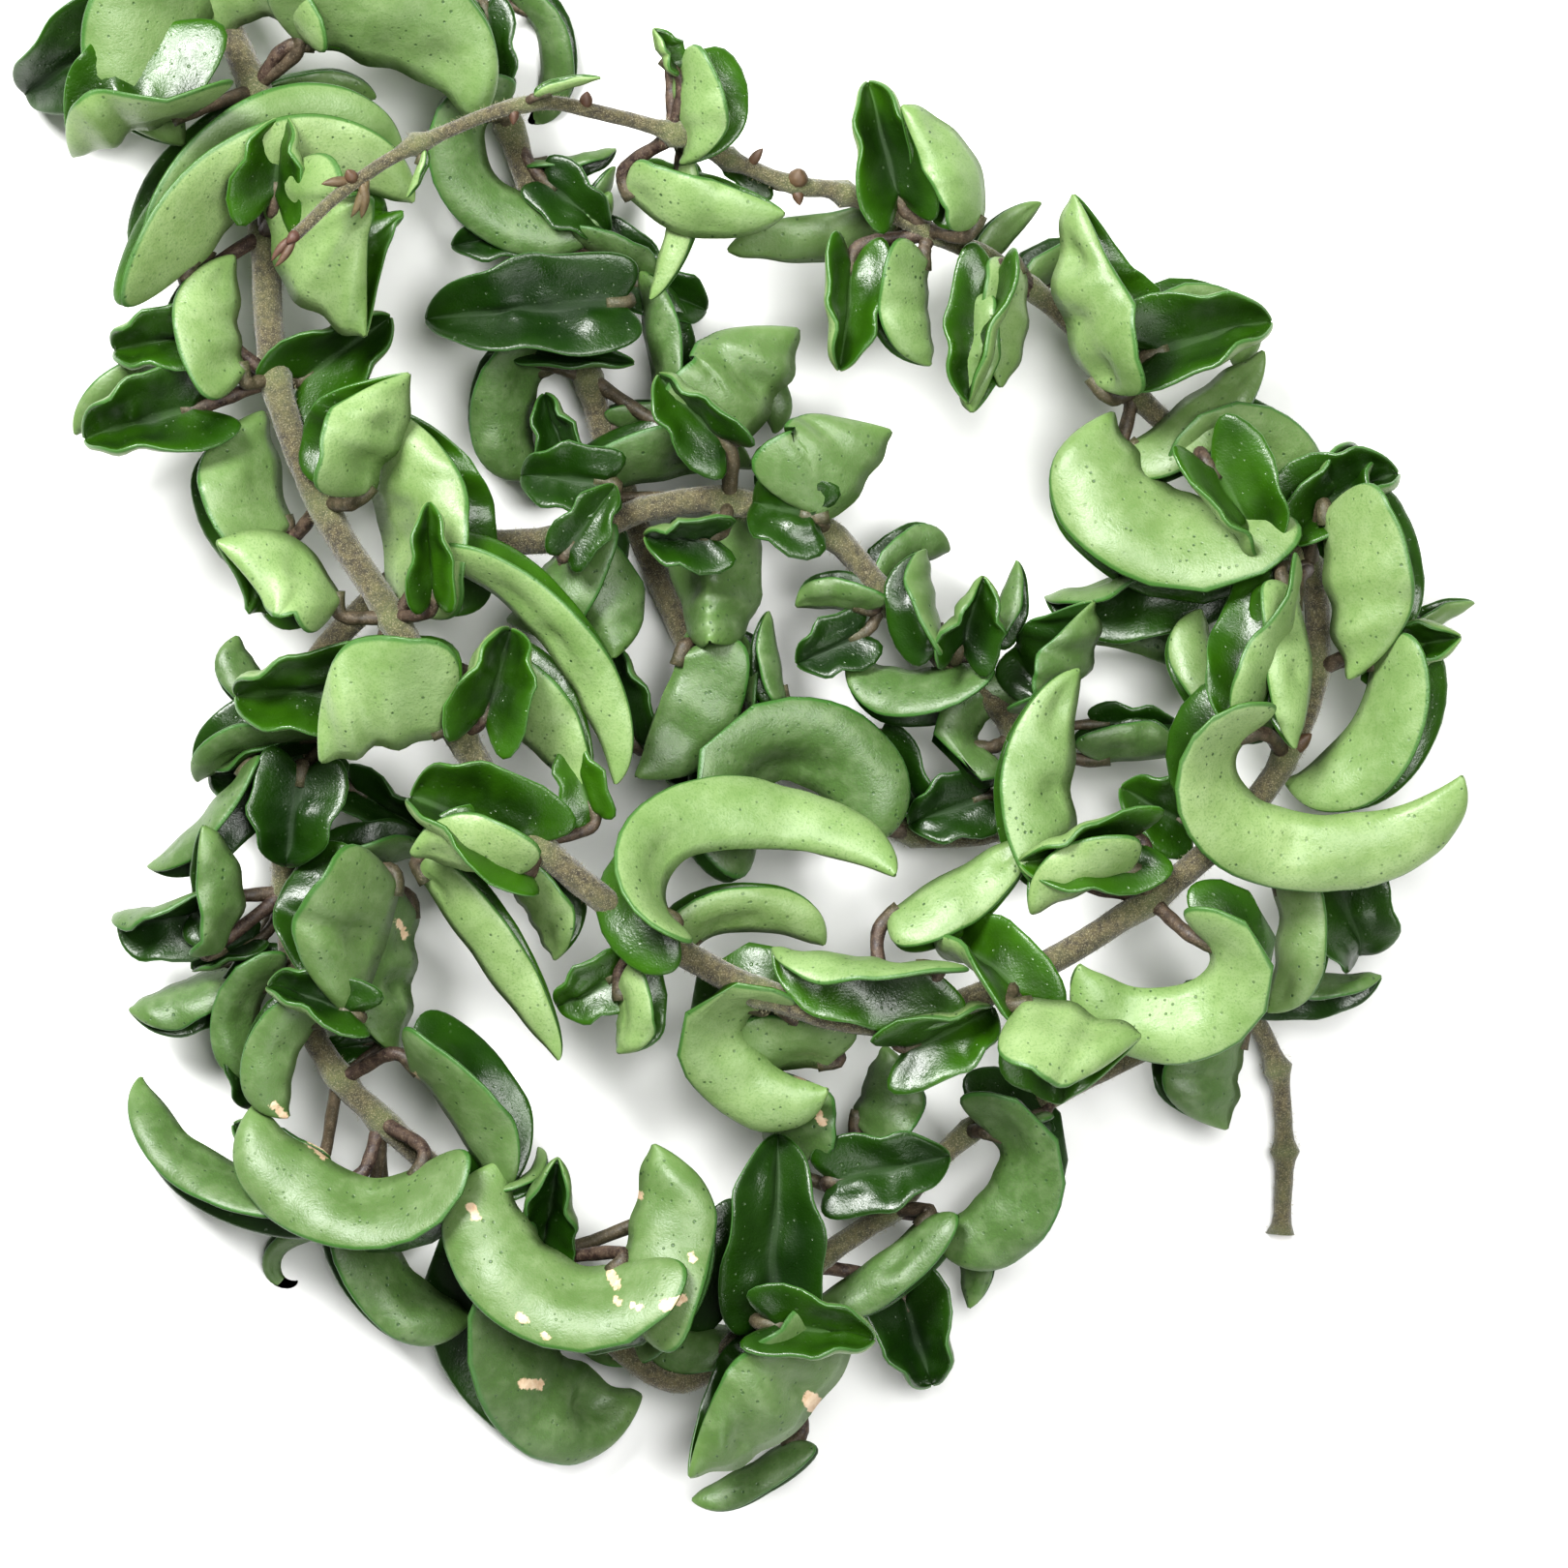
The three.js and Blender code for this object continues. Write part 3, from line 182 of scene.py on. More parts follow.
COILED_LEAVES = (
    (3, "pod", 77, -42, 18, -100, 0, -80, 0, 16, 15, 0),
    (3, "boat", 79, -34, 20, 15, 0, -60, 0, 21, 7, -20),
    (5, "boat", 43, -55, 24, 190, 0, 60, 0, 10, 5, 0),
    (6, "curl", 34, -58, 28, -15, 0, 75, 0, 24, 13, 140),
    (7, "spear", 29, -76, 18, -80, 0, 80, 0, 12, 6, 0),
    (7, "pod", 24, -72, 26, -130, 0, 80, 0, 24, 8, 20),
    (8, "cup", 20, -86, 18, -72, -10, 0, 0, 16, 10, 0),
    (9, "shell", 11, -91, 32, 262, 0, -82, 0, 38, 19, -75),
    (9, "pod", 2, -110, 18, -150, 0, 80, 0, 20, 6, 0),
    (9, "open", -2, -88, 30, 88, 10, 0, 0, 30, 10, 20),
    (7, "shell", -1, -62, 25, 120, 0, -92, 0, 15, 14, -30),
    (7, "open", 8, -66, 28, 12, 0, 0, 0, 20, 8, 0),
    (12, "pod", -27, -79, 38, 225, 0, 82, 0, 30, 16, 130),
    (12, "pod", -27, -86, 37, 88, 0, -95, 0, 27, 15, -15),
    (12, "boat", -13, -72, 27, -85, 0, 55, 0, 38, 9, 100),
    (12, "curl", -42, -83, 22.2, 240, 0, -65, 0, 32, 19, 100),
    (9, "pod", -6, -90, 20, 200, 0, 80, 0, 18, 8, 20),
    (13, "cup", -40, -77, 26, 80, 0, 0, 0, 20, 8, -60),
    (13, "spear", -47, -67, 34, 10, 0, -40, 0, 12, 3, 90),
    (15, "boat", -62, -46, 32, -50, 0, 74, 0, 27, 13, 10),
    (14, "curl", -60, -63, 34, 238, 0, 80, 0, 33, 14, 105),
    (14, "pod", -68, -72, 22, -80, 0, -80, 0, 24, 12, 50),
    (14, "hook", -70, -76, 12.3, 175, 0, -60, 0, 24, 4, 200),
    (14, "boat", -72, -66, 26, 200, 0, 70, 0, 44, 10, 80),
    (15, "cup", -80, -64, 20, 150, 0, 0, 0, 14, 6, 0),
    (16, "pod", -76, -39, 32, 190, 0, -80, 0, 19, 9, 90),
    (16, "open", -87, -41, 22, -100, 0, 0, 0, 14, 6, 20),
    (16, "pod", -85, -33, 24, 200, 0, -80, 0, 18, 8, 100),
    (17, "shell", -64, -16, 35, -96, 0, -74, 0, 24, 20, -25),
    (16, "cup", -71, -38, 38, 160, 0, -20, 0, 15, 7, 10),
    (15, "open", -68, -43, 22, 190, 0, 0, 0, 9, 4, 0),
    (17, "boat", -95, -28, 30, 30, 0, 65, 0, 26, 9, -110),
    (17, "cup", -98, -20, 26, 200, 0, 40, 0, 14, 9, 30),
    (17, "pod", -93, -31, 18, 190, 0, 70, 0, 18, 9, -20),
    (17, "boat", -88, -26, 22, 205, 0, -20, 0, 12, 5, 0),
    (18, "boat", -89, 3, 28, -125, 0, 60, 0, 24, 8, 20),
    (18, "boat", -78, 8, 28, 180, 0, -60, 0, 22, 9, 40),
    (19, "cup", -78, 6, 24, 200, 0, 20, 0, 20, 8, 30),
    (19, "pod", -84, 16, 20, 170, 0, 80, 0, 12, 7, 60),
    (18, "open", -80, 2, 30, -100, 0, 0, 0, 16, 9, 10),
    (17, "boat", -76, -15, 24, 25, 0, 60, 0, 18, 7, 30),
    (18, "cup", -72, -1, 18, -30, 0, 0, 0, 14, 6, 0),
    (22, "open", -29, 50, 32, 175, 0, 0, 0, 15, 7, 20),
    (22, "open", -36, 38, 34, 55, 0, 0, 0, 14, 5, 0),
    (24, "boat", -31, 49, 24, 20, 0, 80, 0, 26, 11, 20),
    (24, "cup", -10, 57, 36, 135, 0, 20, 0, 15, 8, 0),
    (24, "pod", -8, 57, 32, 22, 0, 100, 0, 22, 17, -60),
    (25, "open", 5, 44, 34, 165, 0, 0, 0, 11, 8, 30),
    (25, "pod", 5, 44, 34, 10, 0, 100, 0, 20, 17, -60),
    (24, "cup", -12, 41, 36, 180, 0, 20, 0, 11, 7, 0),
    (24, "boat", -13, 40, 30, -85, 0, 170, 0, 17, 12, 25),
    (22, "boat", -36, 34, 26, -60, 0, 140, 0, 15, 11, 0),
    (22, "pod", -36, 41, 24, -120, 0, 80, 0, 17, 12, 10),
    (32, "boat", -17, 22, 28, -110, 0, 130, 0, 22, 13, 0),
    (31, "spear", 0, 14, 24, 100, 0, 60, 0, 15, 5, 0),
    (26, "pod", 14, 29, 30, 165, 0, -70, 0, 12, 6, 20),
    (26, "open", 13, 25, 28, 205, 0, 0, 0, 12, 6, 0),
    (27, "cup", 29, 23, 34, 80, 0, -20, 0, 13, 8, -40),
    (27, "boat", 26, 24, 34, 110, 0, 60, 0, 15, 8, 20),
    (26, "pod", 18, 33, 24, 70, 0, 70, 0, 12, 7, 60),
    (27, "spear", 34, 24, 26, 70, 0, -60, 0, 14, 5, 0),
    (27, "boat", 30, 20, 28, 210, 0, 80, 0, 20, 10, 60),
    (28, "boat", 42, 12, 29, 15, 0, 60, 0, 24, 13, -90),
    (28, "boat", 49, 25, 19, -15, 0, 130, 0, 22, 8, 0),
    (28, "pod", 33, 6, 26, 175, 0, 80, 0, 13, 8, 200),
    (29, "open", 34, -2, 20, 200, 0, 0, 0, 14, 7, 0),
    (30, "pod", -4, -5, 26, 118, 0, 82, 0, 25, 16, 205),
    (30, "open", 16, 8, 18, -60, 0, 0, 0, 20, 5, 0),
    (28, "pod", 52, 4, 22, 5, 0, 80, 0, 14, 7, 0),
    (28, "open", 52, 10, 20, 0, 0, 0, 0, 14, 4, 0),
    (38, "open", -50, 130, 22, -80, 0, 0, 0, 16, 5, 0),
    (38, "boat", -57, 131, 20, -75, 0, 60, 0, 16, 6, 0),
    (38, "pod", -45, 131, 12.7, -20, 0, 70, 0, 22, 6, 100),
    (37, "pod", -48, 112, 22, 190, 0, -80, 0, 34, 10, 200),
    (37, "open", -40, 101, 20, -40, 0, 0, 0, 14, 6, 0),
    (36, "spear", -32, 90, 18, 75, 0, 60, 0, 14, 4, 0),
    (37, "boat", -42, 104, 18, 10, 0, -60, 0, 14, 4, 0),
    (37, "open", -40, 93, 18, 190, 0, 0, 0, 16, 5, 0),
    (36, "pod", -33, 90, 18, -20, 0, 60, 0, 13, 7, 20),
    (36, "open", -27, 80, 28, 184, 0, -5, 0, 33, 10, 10),
    (35, "boat", -44, 72, 22, -5, 0, 10, 0, 19, 4, 0),
    (35, "pod", -39, 70, 18, 200, 0, -78, 0, 20, 11, 100),
    (34, "cup", -36, 54, 20, 110, 0, 10, 0, 12, 6, 0),
    (35, "boat", -20, 62, 20, 105, 0, -75, 0, 24, 8, -10),
    (36, "open", -25, 84, 18, -20, 0, 0, 0, 13, 6, 20),
    (34, "pod", -28, 60, 16, 0, 0, 80, 0, 14, 5, 0),
    (34, "curl", -13, 67, 22, 85, 0, 70, 0, 18, 6, 160),
    (17, "boat", -62, -20, 27, -84, 0, -78, 0, 25, 13, -20),
    (32, "cup", -25, 7, 18, 105, 0, 0, 0, 17, 7, 0),
    (32, "boat", -6, 12, 20, 100, 0, -60, 0, 14, 6, 0),
    (31, "boat", -8, 3, 13.5, 190, 0, 0, 0, 12, 6, 0),
    (7, "shell", 12, -57, 21, 80, 0, -88, 0, 14, 12, -20),
    (9, "cup", -2, -89, 40, -8, 0, 10, 0, 17, 8.5, 0),
)

# Leaf forms: side angle of each half at the midrib and at the margin, at the foot and beyond it, the
# wave of the margin, how late the blade narrows, the share of the bend that is a tight hook (at the
# tip when negative) and how far the foot lobes reach back.
Form = namedtuple("Form", "foot blade wave taper hook lobe")
LEAF_FORMS = {
    "curl": Form((45, 55), (38, 112), 0.6, 3.2, 0.6, 0.6),
    "pod": Form((40, 75), (40, 112), 0.5, 3.2, 0.4, 0.6),
    "cup": Form((30, 50), (32, 96), 0.7, 2.8, 0.3, 0.7),
    "boat": Form((35, 50), (42, 84), 0.5, 2.4, 0.2, 0.5),
    "heart": Form((35, 50), (42, 84), 0.5, 2.2, 0.1, 0.8),
    "shell": Form((45, 60), (38, 100), 0.5, 2.2, 0.1, 0.35),
    "fin": Form((40, 60), (45, 90), 0.4, 1.0, 0.0, 0.4),
    "open": Form((15, 30), (30, 55), 0.7, 2.2, 0.0, 0.5),
    "spear": Form((40, 80), (60, 95), 0.3, 1.4, 0.1, 0.3),
    "hook": Form((40, 80), (50, 90), 0.3, 1.6, -0.8, 0.3),
}

# Leaf sizes, and the rows and columns of points in a blade
BLADE_THICKNESS = 1.9
THICK_FROM_HALF_WIDTH = 8
WIDEST_AT = 0.3
MIDRIB_STEPS = 60
STATION_LENGTH = 0.7
STATIONS = (16, 66)
MARGIN_COLUMNS = 10

# Relief of a blade: depths as shares of half its width, a pucker for each so many millimetres of
# length, the two lengths of the margin's ripple, and the depth of the crease along the midrib
PUCKER_DEPTH = 0.13
PUCKER_SPACING = 7
UNEVEN_DEPTH = 0.012
RIPPLE_DEPTH = 0.008
RIPPLE_LENGTHS = (9.0, 5.5)
CREASE_DEPTH = 0.08

# Stalk and stem sizes, swellings as shares of the radius
STALK_RADIUS = 1.2
STALK_SUNK = 2.5
STALK_SIDES = 10
STALK_RINGS = 14
STEM_SIDES = 16
STEM_RINGS = 8
NODE_SWELLING = 0.22
NODE_REACH = 2.6
KNOB_SWELLING = 0.6
KNOB_REACH = 1.5
BROAD_UNEVENNESS = 0.05
FINE_UNEVENNESS = 0.04

BUD_RINGS = 9
BUD_SIDES = 10

# Stem points without leaves that still swell into knobs, by the number of points in the stem's route
BARE_NODES = {34: (25, 27, 28, 31), 40: (0, 1, 2)}

# Felt on the stems: hairs on each square millimetre, their length and radius, how much they lean
HAIRS_PER_MM2 = 1.3
HAIR_LENGTH = (0.35, 0.85)
HAIR_RADIUS = 0.035
HAIR_LEAN = 0.55

# Leaves of each piece, by the stem points that carry them
LONG_STRETCHES = {"cut_end": (0, 4), "left": (5, 8), "front": (9, 14), "right": (15, 19), "tip": (20, 33)}
COILED_STRETCHES = {
    "old_end": (0, 9),
    "front": (10, 15),
    "left": (16, 21),
    "middle": (22, 32),
    "cut_end": (33, 39),
}

# Stretches whose leaves carry scars
SCARRED_STRETCHES = {"coiled_vine": ("old_end", "front", "left")}

# Painted shade: leaves are darker the further they lie below a height of their vine, up to a depth, partly
# also the deeper green of older inner leaves
SHADE_FROM = {"long_vine": 46, "coiled_vine": 54}
SHADE_DEPTH = 26

# Scars on the leaf backs, as strokes seen from above: x, y of both ends and half the width
SCARS = (
    (-51.6, -69.6, -50.8, -71.2, 0.7),
    (-43.4, -87.4, -42.6, -88.0, 0.6),
    (-39.4, -90.2, -38.8, -90.8, 0.4),
    (-28.6, -80.6, -27.6, -82.2, 0.7),
    (-27.4, -84.6, -27.0, -84.9, 0.4),
    (-24.8, -85.4, -23.8, -85.6, 0.4),
    (-19.6, -85.4, -16.8, -84.4, 0.8),
    (-15.2, -77.4, -15.0, -78.2, 0.5),
    (-24.2, -67.6, -23.8, -68.0, 0.5),
    (-43.2, -99.8, -40.8, -100.2, 0.8),
    (4.4, -101.8, 5.2, -103.2, 1.3),
    (2.4, -48.4, 6.4, -56.0, 0.6),
    (-61.2, -48.2, -60.0, -53.8, 0.45),
    (-84.6, -53.2, -80.0, -58.6, 0.5),
    (-80.0, -58.6, -76.2, -61.8, 0.4),
    (-63.9, -23.0, -63.0, -25.2, 0.5),
    (-5.2, -77.0, -4.8, -77.3, 0.3),
)

# Buds and scale leaves of the long vine: place in stem points, heading and pitch in degrees, length,
# radius, how far it turns in degrees and how red it is
BUDS = (
    (33.0, 215, 0, 5.6, 0.65, 25, 0.8),
    (33.0, 250, 0, 6.0, 0.65, -25, 0.7),
    (32.9, 225, 20, 3.2, 0.9, 0, 0.9),
    (31.9, 120, 45, 3.0, 1.0, 0, 0.7),
    (31.9, 175, 20, 5.6, 0.8, 20, 0.5),
    (31.8, 285, -10, 6.6, 0.9, -30, 0.4),
    (31.7, 262, -5, 7.6, 0.8, -25, 0.3),
    (29.2, 80, 30, 3.2, 1.0, 0, 0.8),
    (30.1, 265, 10, 3.2, 0.8, 0, 0.8),
    (27.1, 100, 25, 5.0, 0.8, 25, 0.6),
    (26.7, 60, 25, 4.2, 0.8, -15, 0.7),
    (26.0, 75, 50, 3.8, 1.5, 0, 0.6),
    (26.0, 280, 10, 3.4, 0.9, 0, 0.7),
    (24.6, 70, 20, 4.2, 0.8, 10, 0.5),
    (15.0, 40, 25, 5.6, 1.3, 0, 0.7),
)

# Colours of the pale outside of a leaf
WAX_GREENS = ((0.157, 0.24, 0.079), (0.25, 0.345, 0.144))
DULL_GREEN = (0.14, 0.24, 0.085)
# painted shade on leaves low in the heap, partly their deeper green with age
SHADED_GREEN = (0.05, 0.10, 0.026)
BLOOM = (0.36, 0.44, 0.26)
BLOTCH = (0.10, 0.18, 0.05)
PORES = (0.08, 0.17, 0.04)
TIP_GREEN = (0.12, 0.22, 0.05)
MIDRIB_GREEN = (0.11, 0.20, 0.05)
SPECK_GREEN = (0.022, 0.06, 0.015)
EDGE_GREEN = (0.035, 0.12, 0.018)
SCAR_SKINS = ((0.42, 0.22, 0.10), (0.80, 0.68, 0.50))

# Colours of its glossy inside, and of the fine rim between the two
DARK_GREENS = ((0.008, 0.029, 0.001), (0.027, 0.086, 0.002))
LIT_GREEN = (0.045, 0.15, 0.006)
# painted shade on the insides of leaves low in the heap, partly their deeper green with age
AGED_AND_SHADED_DARK_GREEN = (0.003, 0.018, 0.001)
DUST = (0.10, 0.16, 0.07)
RIM_GREEN = (0.13, 0.28, 0.10)

# Colours of stems, stalks, buds, hairs and the floor
BARKS = ((0.024, 0.018, 0.008), (0.10, 0.084, 0.040))
GREEN_BARK = (0.105, 0.12, 0.045)
NODE_BARK = (0.115, 0.15, 0.05)
SCURF = (0.30, 0.27, 0.17)
CUT_WOOD = (0.66, 0.58, 0.46)
STALK_SKINS = ((0.022, 0.011, 0.010), (0.085, 0.056, 0.038))
YOUNG_STALK = (0.065, 0.062, 0.028)
STALK_FOOT = (0.045, 0.065, 0.02)
STALK_SCURF = (0.24, 0.20, 0.14)
GREEN_BUDS = ((0.07, 0.06, 0.025), (0.16, 0.14, 0.06))
RED_BUDS = ((0.035, 0.013, 0.010), (0.11, 0.042, 0.030))
HAIRS = ((0.26, 0.23, 0.13), (0.58, 0.54, 0.38))
GREEN_HAIR = (0.25, 0.26, 0.14)
FLOOR_TONES = ((0.80, 0.80, 0.79), (0.84, 0.84, 0.83))

# Roughness of every noise texture
NOISE_ROUGHNESS = 0.55

rng = np.random.default_rng(20)


# Places in the solids' frame


def to_metres(points):
    return (np.asarray(points, float) - ORIGIN) * MM


def unit(vectors):
    return vectors / np.maximum(np.linalg.norm(vectors, axis=-1, keepdims=True), 1e-9)


def lerp(a, b, share):
    return a + (b - a) * share


# Meshes


def placed(name, data):
    """An object of a mesh, light or camera, in the scene."""
    item = bpy.data.objects.new(name, data)
    bpy.context.scene.collection.objects.link(item)
    return item


def mesh_piece(name, points, faces, attributes, material):
    """A smooth mesh object that stays above the surface. Each attribute is one number for each point."""
    mesh = bpy.data.meshes.new(name)
    places = to_metres(points)
    places[:, 2] = np.maximum(places[:, 2], 0)
    mesh.from_pydata(places.tolist(), [], faces)
    for key, values in attributes.items():
        layer = mesh.attributes.new(key, "FLOAT", "POINT")
        layer.data.foreach_set("value", np.asarray(values, np.float32))
    mesh.materials.append(material)
    mesh.polygons.foreach_set("use_smooth", [True] * len(mesh.polygons))
    mesh.update()
    return placed(name, mesh)


class Surface:
    """Points, faces and attributes gathered from several bodies into one mesh."""

    def __init__(self, *keys):
        self.points = []
        self.faces = []
        self.attributes = {key: [] for key in keys}
        self.count = 0

    def add(self, points, faces, **values):
        self.faces.extend([tuple(int(i) + self.count for i in face) for face in faces])
        self.points.append(points)
        self.count += len(points)
        for key, column in self.attributes.items():
            column.append(np.broadcast_to(values[key], len(points)))

    def piece(self, name, material):
        attributes = {key: np.concatenate(column) for key, column in self.attributes.items()}
        return mesh_piece(name, np.concatenate(self.points), self.faces, attributes, material)


# Tubes


def curve_points(route, shares):
    """Points of the smooth curve through a route, at shares of its way."""
    points = np.array(route, float)
    padded = np.vstack([2 * points[0] - points[1], points, 2 * points[-1] - points[-2]])
    place = np.asarray(shares) * (len(points) - 1)
    start = np.minimum(place.astype(int), len(points) - 2)
    part = (place - start)[:, None]
    before, here, ahead, after = (padded[start + k] for k in range(4))
    slope_here = (ahead - before) / 2
    slope_ahead = (after - here) / 2
    rest = 2 * (here - ahead) + slope_here + slope_ahead
    bow = 3 * (ahead - here) - 2 * slope_here - slope_ahead
    return here + slope_here * part + bow * part**2 + rest * part**3


def ring_frames(line):
    """Directions along, across and beside a line of points."""
    along = unit(np.gradient(line, axis=0))
    across = np.zeros_like(line)
    steep = abs(along[0][2]) >= 0.9
    last = np.array([1.0, 0.0, 0.0] if steep else [0.0, 0.0, 1.0])
    for i, direction in enumerate(along):
        last = unit(last - direction * last.dot(direction))
        across[i] = last
    return along, across, np.cross(along, across)


def tube(line, radii, sides):
    """Points and faces of a closed tube. Radii are one for each ring or one for each point."""
    _, across, beside = ring_frames(line)
    angles = 2 * math.pi * np.arange(sides) / sides
    outward = across[:, None] * np.cos(angles)[:, None] + beside[:, None] * np.sin(angles)[:, None]
    radii = np.asarray(radii, float)
    if radii.ndim == 1:
        radii = radii[:, None]
    rings = line[:, None] + outward * radii[:, :, None]
    points = np.vstack([rings.reshape(-1, 3), line[:1], line[-1:]])
    faces = []
    for ring in range(len(line) - 1):
        for side in range(sides):
            a, b = ring * sides + side, ring * sides + (side + 1) % sides
            faces.append((a, b, b + sides, a + sides))
    last = (len(line) - 1) * sides
    first_middle, last_middle = len(points) - 2, len(points) - 1
    for side in range(sides):
        following = (side + 1) % sides
        faces.append((first_middle, following, side))
        faces.append((last_middle, last + side, last + following))
    return points, faces


def on_tube(ring_values, sides, first, last):
    """One value for each point of a tube, from one for each ring and one for each end's middle."""
    return np.concatenate([np.repeat(ring_values, sides), [first, last]])


# Stems


def nearness(line, route, places, reach):
    """How near each point of a line is to some of a route's points: 1 at them, 0 well away."""
    marks = np.array([route[i] for i in sorted(places)], float)
    distance = np.linalg.norm(line[:, None] - marks[None], axis=2).min(axis=1)
    return np.exp(-((distance / reach) ** 2))


def stem_body(route, stem_radii, leaves):
    """Line, ring radii with swollen nodes, knobs and fine unevenness, and nearness to nodes."""
    shares = np.linspace(0, 1, STEM_RINGS * (len(route) - 1) + 1)
    line = curve_points(route, shares)
    plain = np.interp(shares, np.linspace(0, 1, len(stem_radii)), stem_radii)
    node = nearness(line, route, {leaf.node for leaf in leaves}, NODE_REACH)
    knob = nearness(line, route, BARE_NODES[len(route)], KNOB_REACH)
    angles = 2 * math.pi * np.arange(STEM_SIDES) / STEM_SIDES
    places = np.cumsum(np.linalg.norm(np.diff(line, axis=0, prepend=line[:1]), axis=1))
    uneven = BROAD_UNEVENNESS * np.sin(places[:, None] / 2.3 + 2 * np.sin(angles)[None])
    uneven = uneven + FINE_UNEVENNESS * np.sin(places[:, None] / 0.9 + 3 * angles[None])
    swelling = NODE_SWELLING * node + KNOB_SWELLING * knob
    lumps = 1 + 0.25 * np.sin(3 * angles[None] + places[:, None] / 3)
    radii = plain[:, None] * (1 + swelling[:, None] * lumps + uneven * (0.6 + node[:, None]))
    return line, radii, np.maximum(node, knob)


def stem_piece(name, route, stem_radii, leaves, material):
    line, radii, node = stem_body(route, stem_radii, leaves)
    surface = Surface("node", "cut")
    points, faces = tube(line, radii, STEM_SIDES)
    uncut = np.zeros(len(line))
    surface.add(points, faces, node=on_tube(node, STEM_SIDES, 0, 0), cut=on_tube(uncut, STEM_SIDES, 1, 1))
    return surface.piece(name, material)


def felt_piece(name, route, stem_radii, leaves, material):
    """Fine hairs standing off the stem, each a slim closed spike."""
    line, radii, _ = stem_body(route, stem_radii, leaves)
    along, across, beside = ring_frames(line)
    lengths = np.linalg.norm(np.diff(line, axis=0), axis=1)
    weights = lengths * radii.mean(axis=1)[:-1]
    count = int(2 * math.pi * weights.sum() * HAIRS_PER_MM2)
    ring = rng.choice(len(lengths), count, p=weights / weights.sum())
    part = rng.random(count)[:, None]
    angle = rng.random(count) * 2 * math.pi
    side = (angle / (2 * math.pi) * STEM_SIDES).astype(int)
    middle = lerp(line[ring], line[ring + 1], part)
    outward = across[ring] * np.cos(angle)[:, None] + beside[ring] * np.sin(angle)[:, None]
    root = middle + outward * (radii[ring, side] * 0.97)[:, None]
    lean = rng.normal(0, HAIR_LEAN, (count, 3))
    way = unit(outward + lean - outward * (lean * outward).sum(axis=1)[:, None] * 0.6)
    tip = root + way * rng.uniform(*HAIR_LENGTH, count)[:, None]
    side_way = unit(np.cross(way, along[ring] + 0.1))
    other_way = np.cross(way, side_way)
    corners = []
    for corner in range(3):
        turn = 2 * math.pi * corner / 3
        corners.append(root + (side_way * math.cos(turn) + other_way * math.sin(turn)) * HAIR_RADIUS)
    points = np.stack([*corners, tip], axis=1).reshape(-1, 3)
    starts = 4 * np.arange(count)[:, None]
    pattern = ((0, 2, 1), (0, 1, 3), (1, 2, 3), (2, 0, 3))
    faces = [tuple(row) for offsets in pattern for row in (starts + np.array(offsets)).tolist()]
    shade = np.repeat(rng.random(count), 4)
    return mesh_piece(name, points, faces, {"shade": shade}, material)


# Leaves


def leaf_frame(leaf):
    """The foot of a leaf, and the directions along it and out of its opening."""
    turn, climb, tilt = leaf.heading * DEGREE, leaf.pitch * DEGREE, leaf.roll * DEGREE
    along = np.array([math.cos(climb) * math.cos(turn), math.cos(climb) * math.sin(turn), math.sin(climb)])
    left = np.array([-math.sin(turn), math.cos(turn), 0])
    opening = np.cross(along, left) * math.cos(tilt) + left * math.sin(tilt)
    return np.array([leaf.x, leaf.y, leaf.z], float), along, opening


def midrib_frames(leaf, form):
    """Points and directions down the midrib, each turned a little from the one before it."""
    point, along, opening = leaf_frame(leaf)
    frames = [(point, along, opening)]
    even = 1 - abs(form.hook)
    turn_roll = (-1 if leaf.roll >= 0 else 1) * leaf.twist * DEGREE / MIDRIB_STEPS
    for i in range(MIDRIB_STEPS):
        share = (i + 0.5) / MIDRIB_STEPS
        at_foot = 6 * max(form.hook, 0) * (1 - share) ** 5
        at_tip = 4 * max(-form.hook, 0) * share**3
        turn = leaf.bend * DEGREE / MIDRIB_STEPS * (even + at_foot + at_tip)
        next_along = along * math.cos(turn) - opening * math.sin(turn)
        opening = opening * math.cos(turn) + along * math.sin(turn)
        along = next_along
        side = np.cross(along, opening)
        opening = opening * math.cos(turn_roll) + side * math.sin(turn_roll)
        point = point + along * leaf.length / MIDRIB_STEPS
        frames.append((point, along, opening))
    return [np.array(column) for column in zip(*frames)]


def rounded_foot(share):
    """How far a blade has rounded out at a share of its length: 0 at the foot, 1 past its widest."""
    return np.sqrt(np.clip(share / WIDEST_AT, 0, 1))


def outline(share, taper):
    """Half the width of a blade at a share of its length, as a share of the greatest."""
    fall = np.maximum(0, 1 - np.maximum(0, (share - 0.4) / 0.6) ** taper) ** 0.6
    return np.sin(math.pi / 2 * rounded_foot(share)) * fall


def rows_down(count):
    """Shares of the length for rows of points: close together near the foot and the tip."""
    near = count * 2 // 5
    far = count - near
    to_widest = WIDEST_AT * ((np.arange(near) + 0.6) / near) ** 2
    to_tip = np.sin(math.pi / 2 * (np.arange(far) + 0.6) / (far + 0.2))
    return np.concatenate([to_widest, WIDEST_AT + (1 - WIDEST_AT) * to_tip])


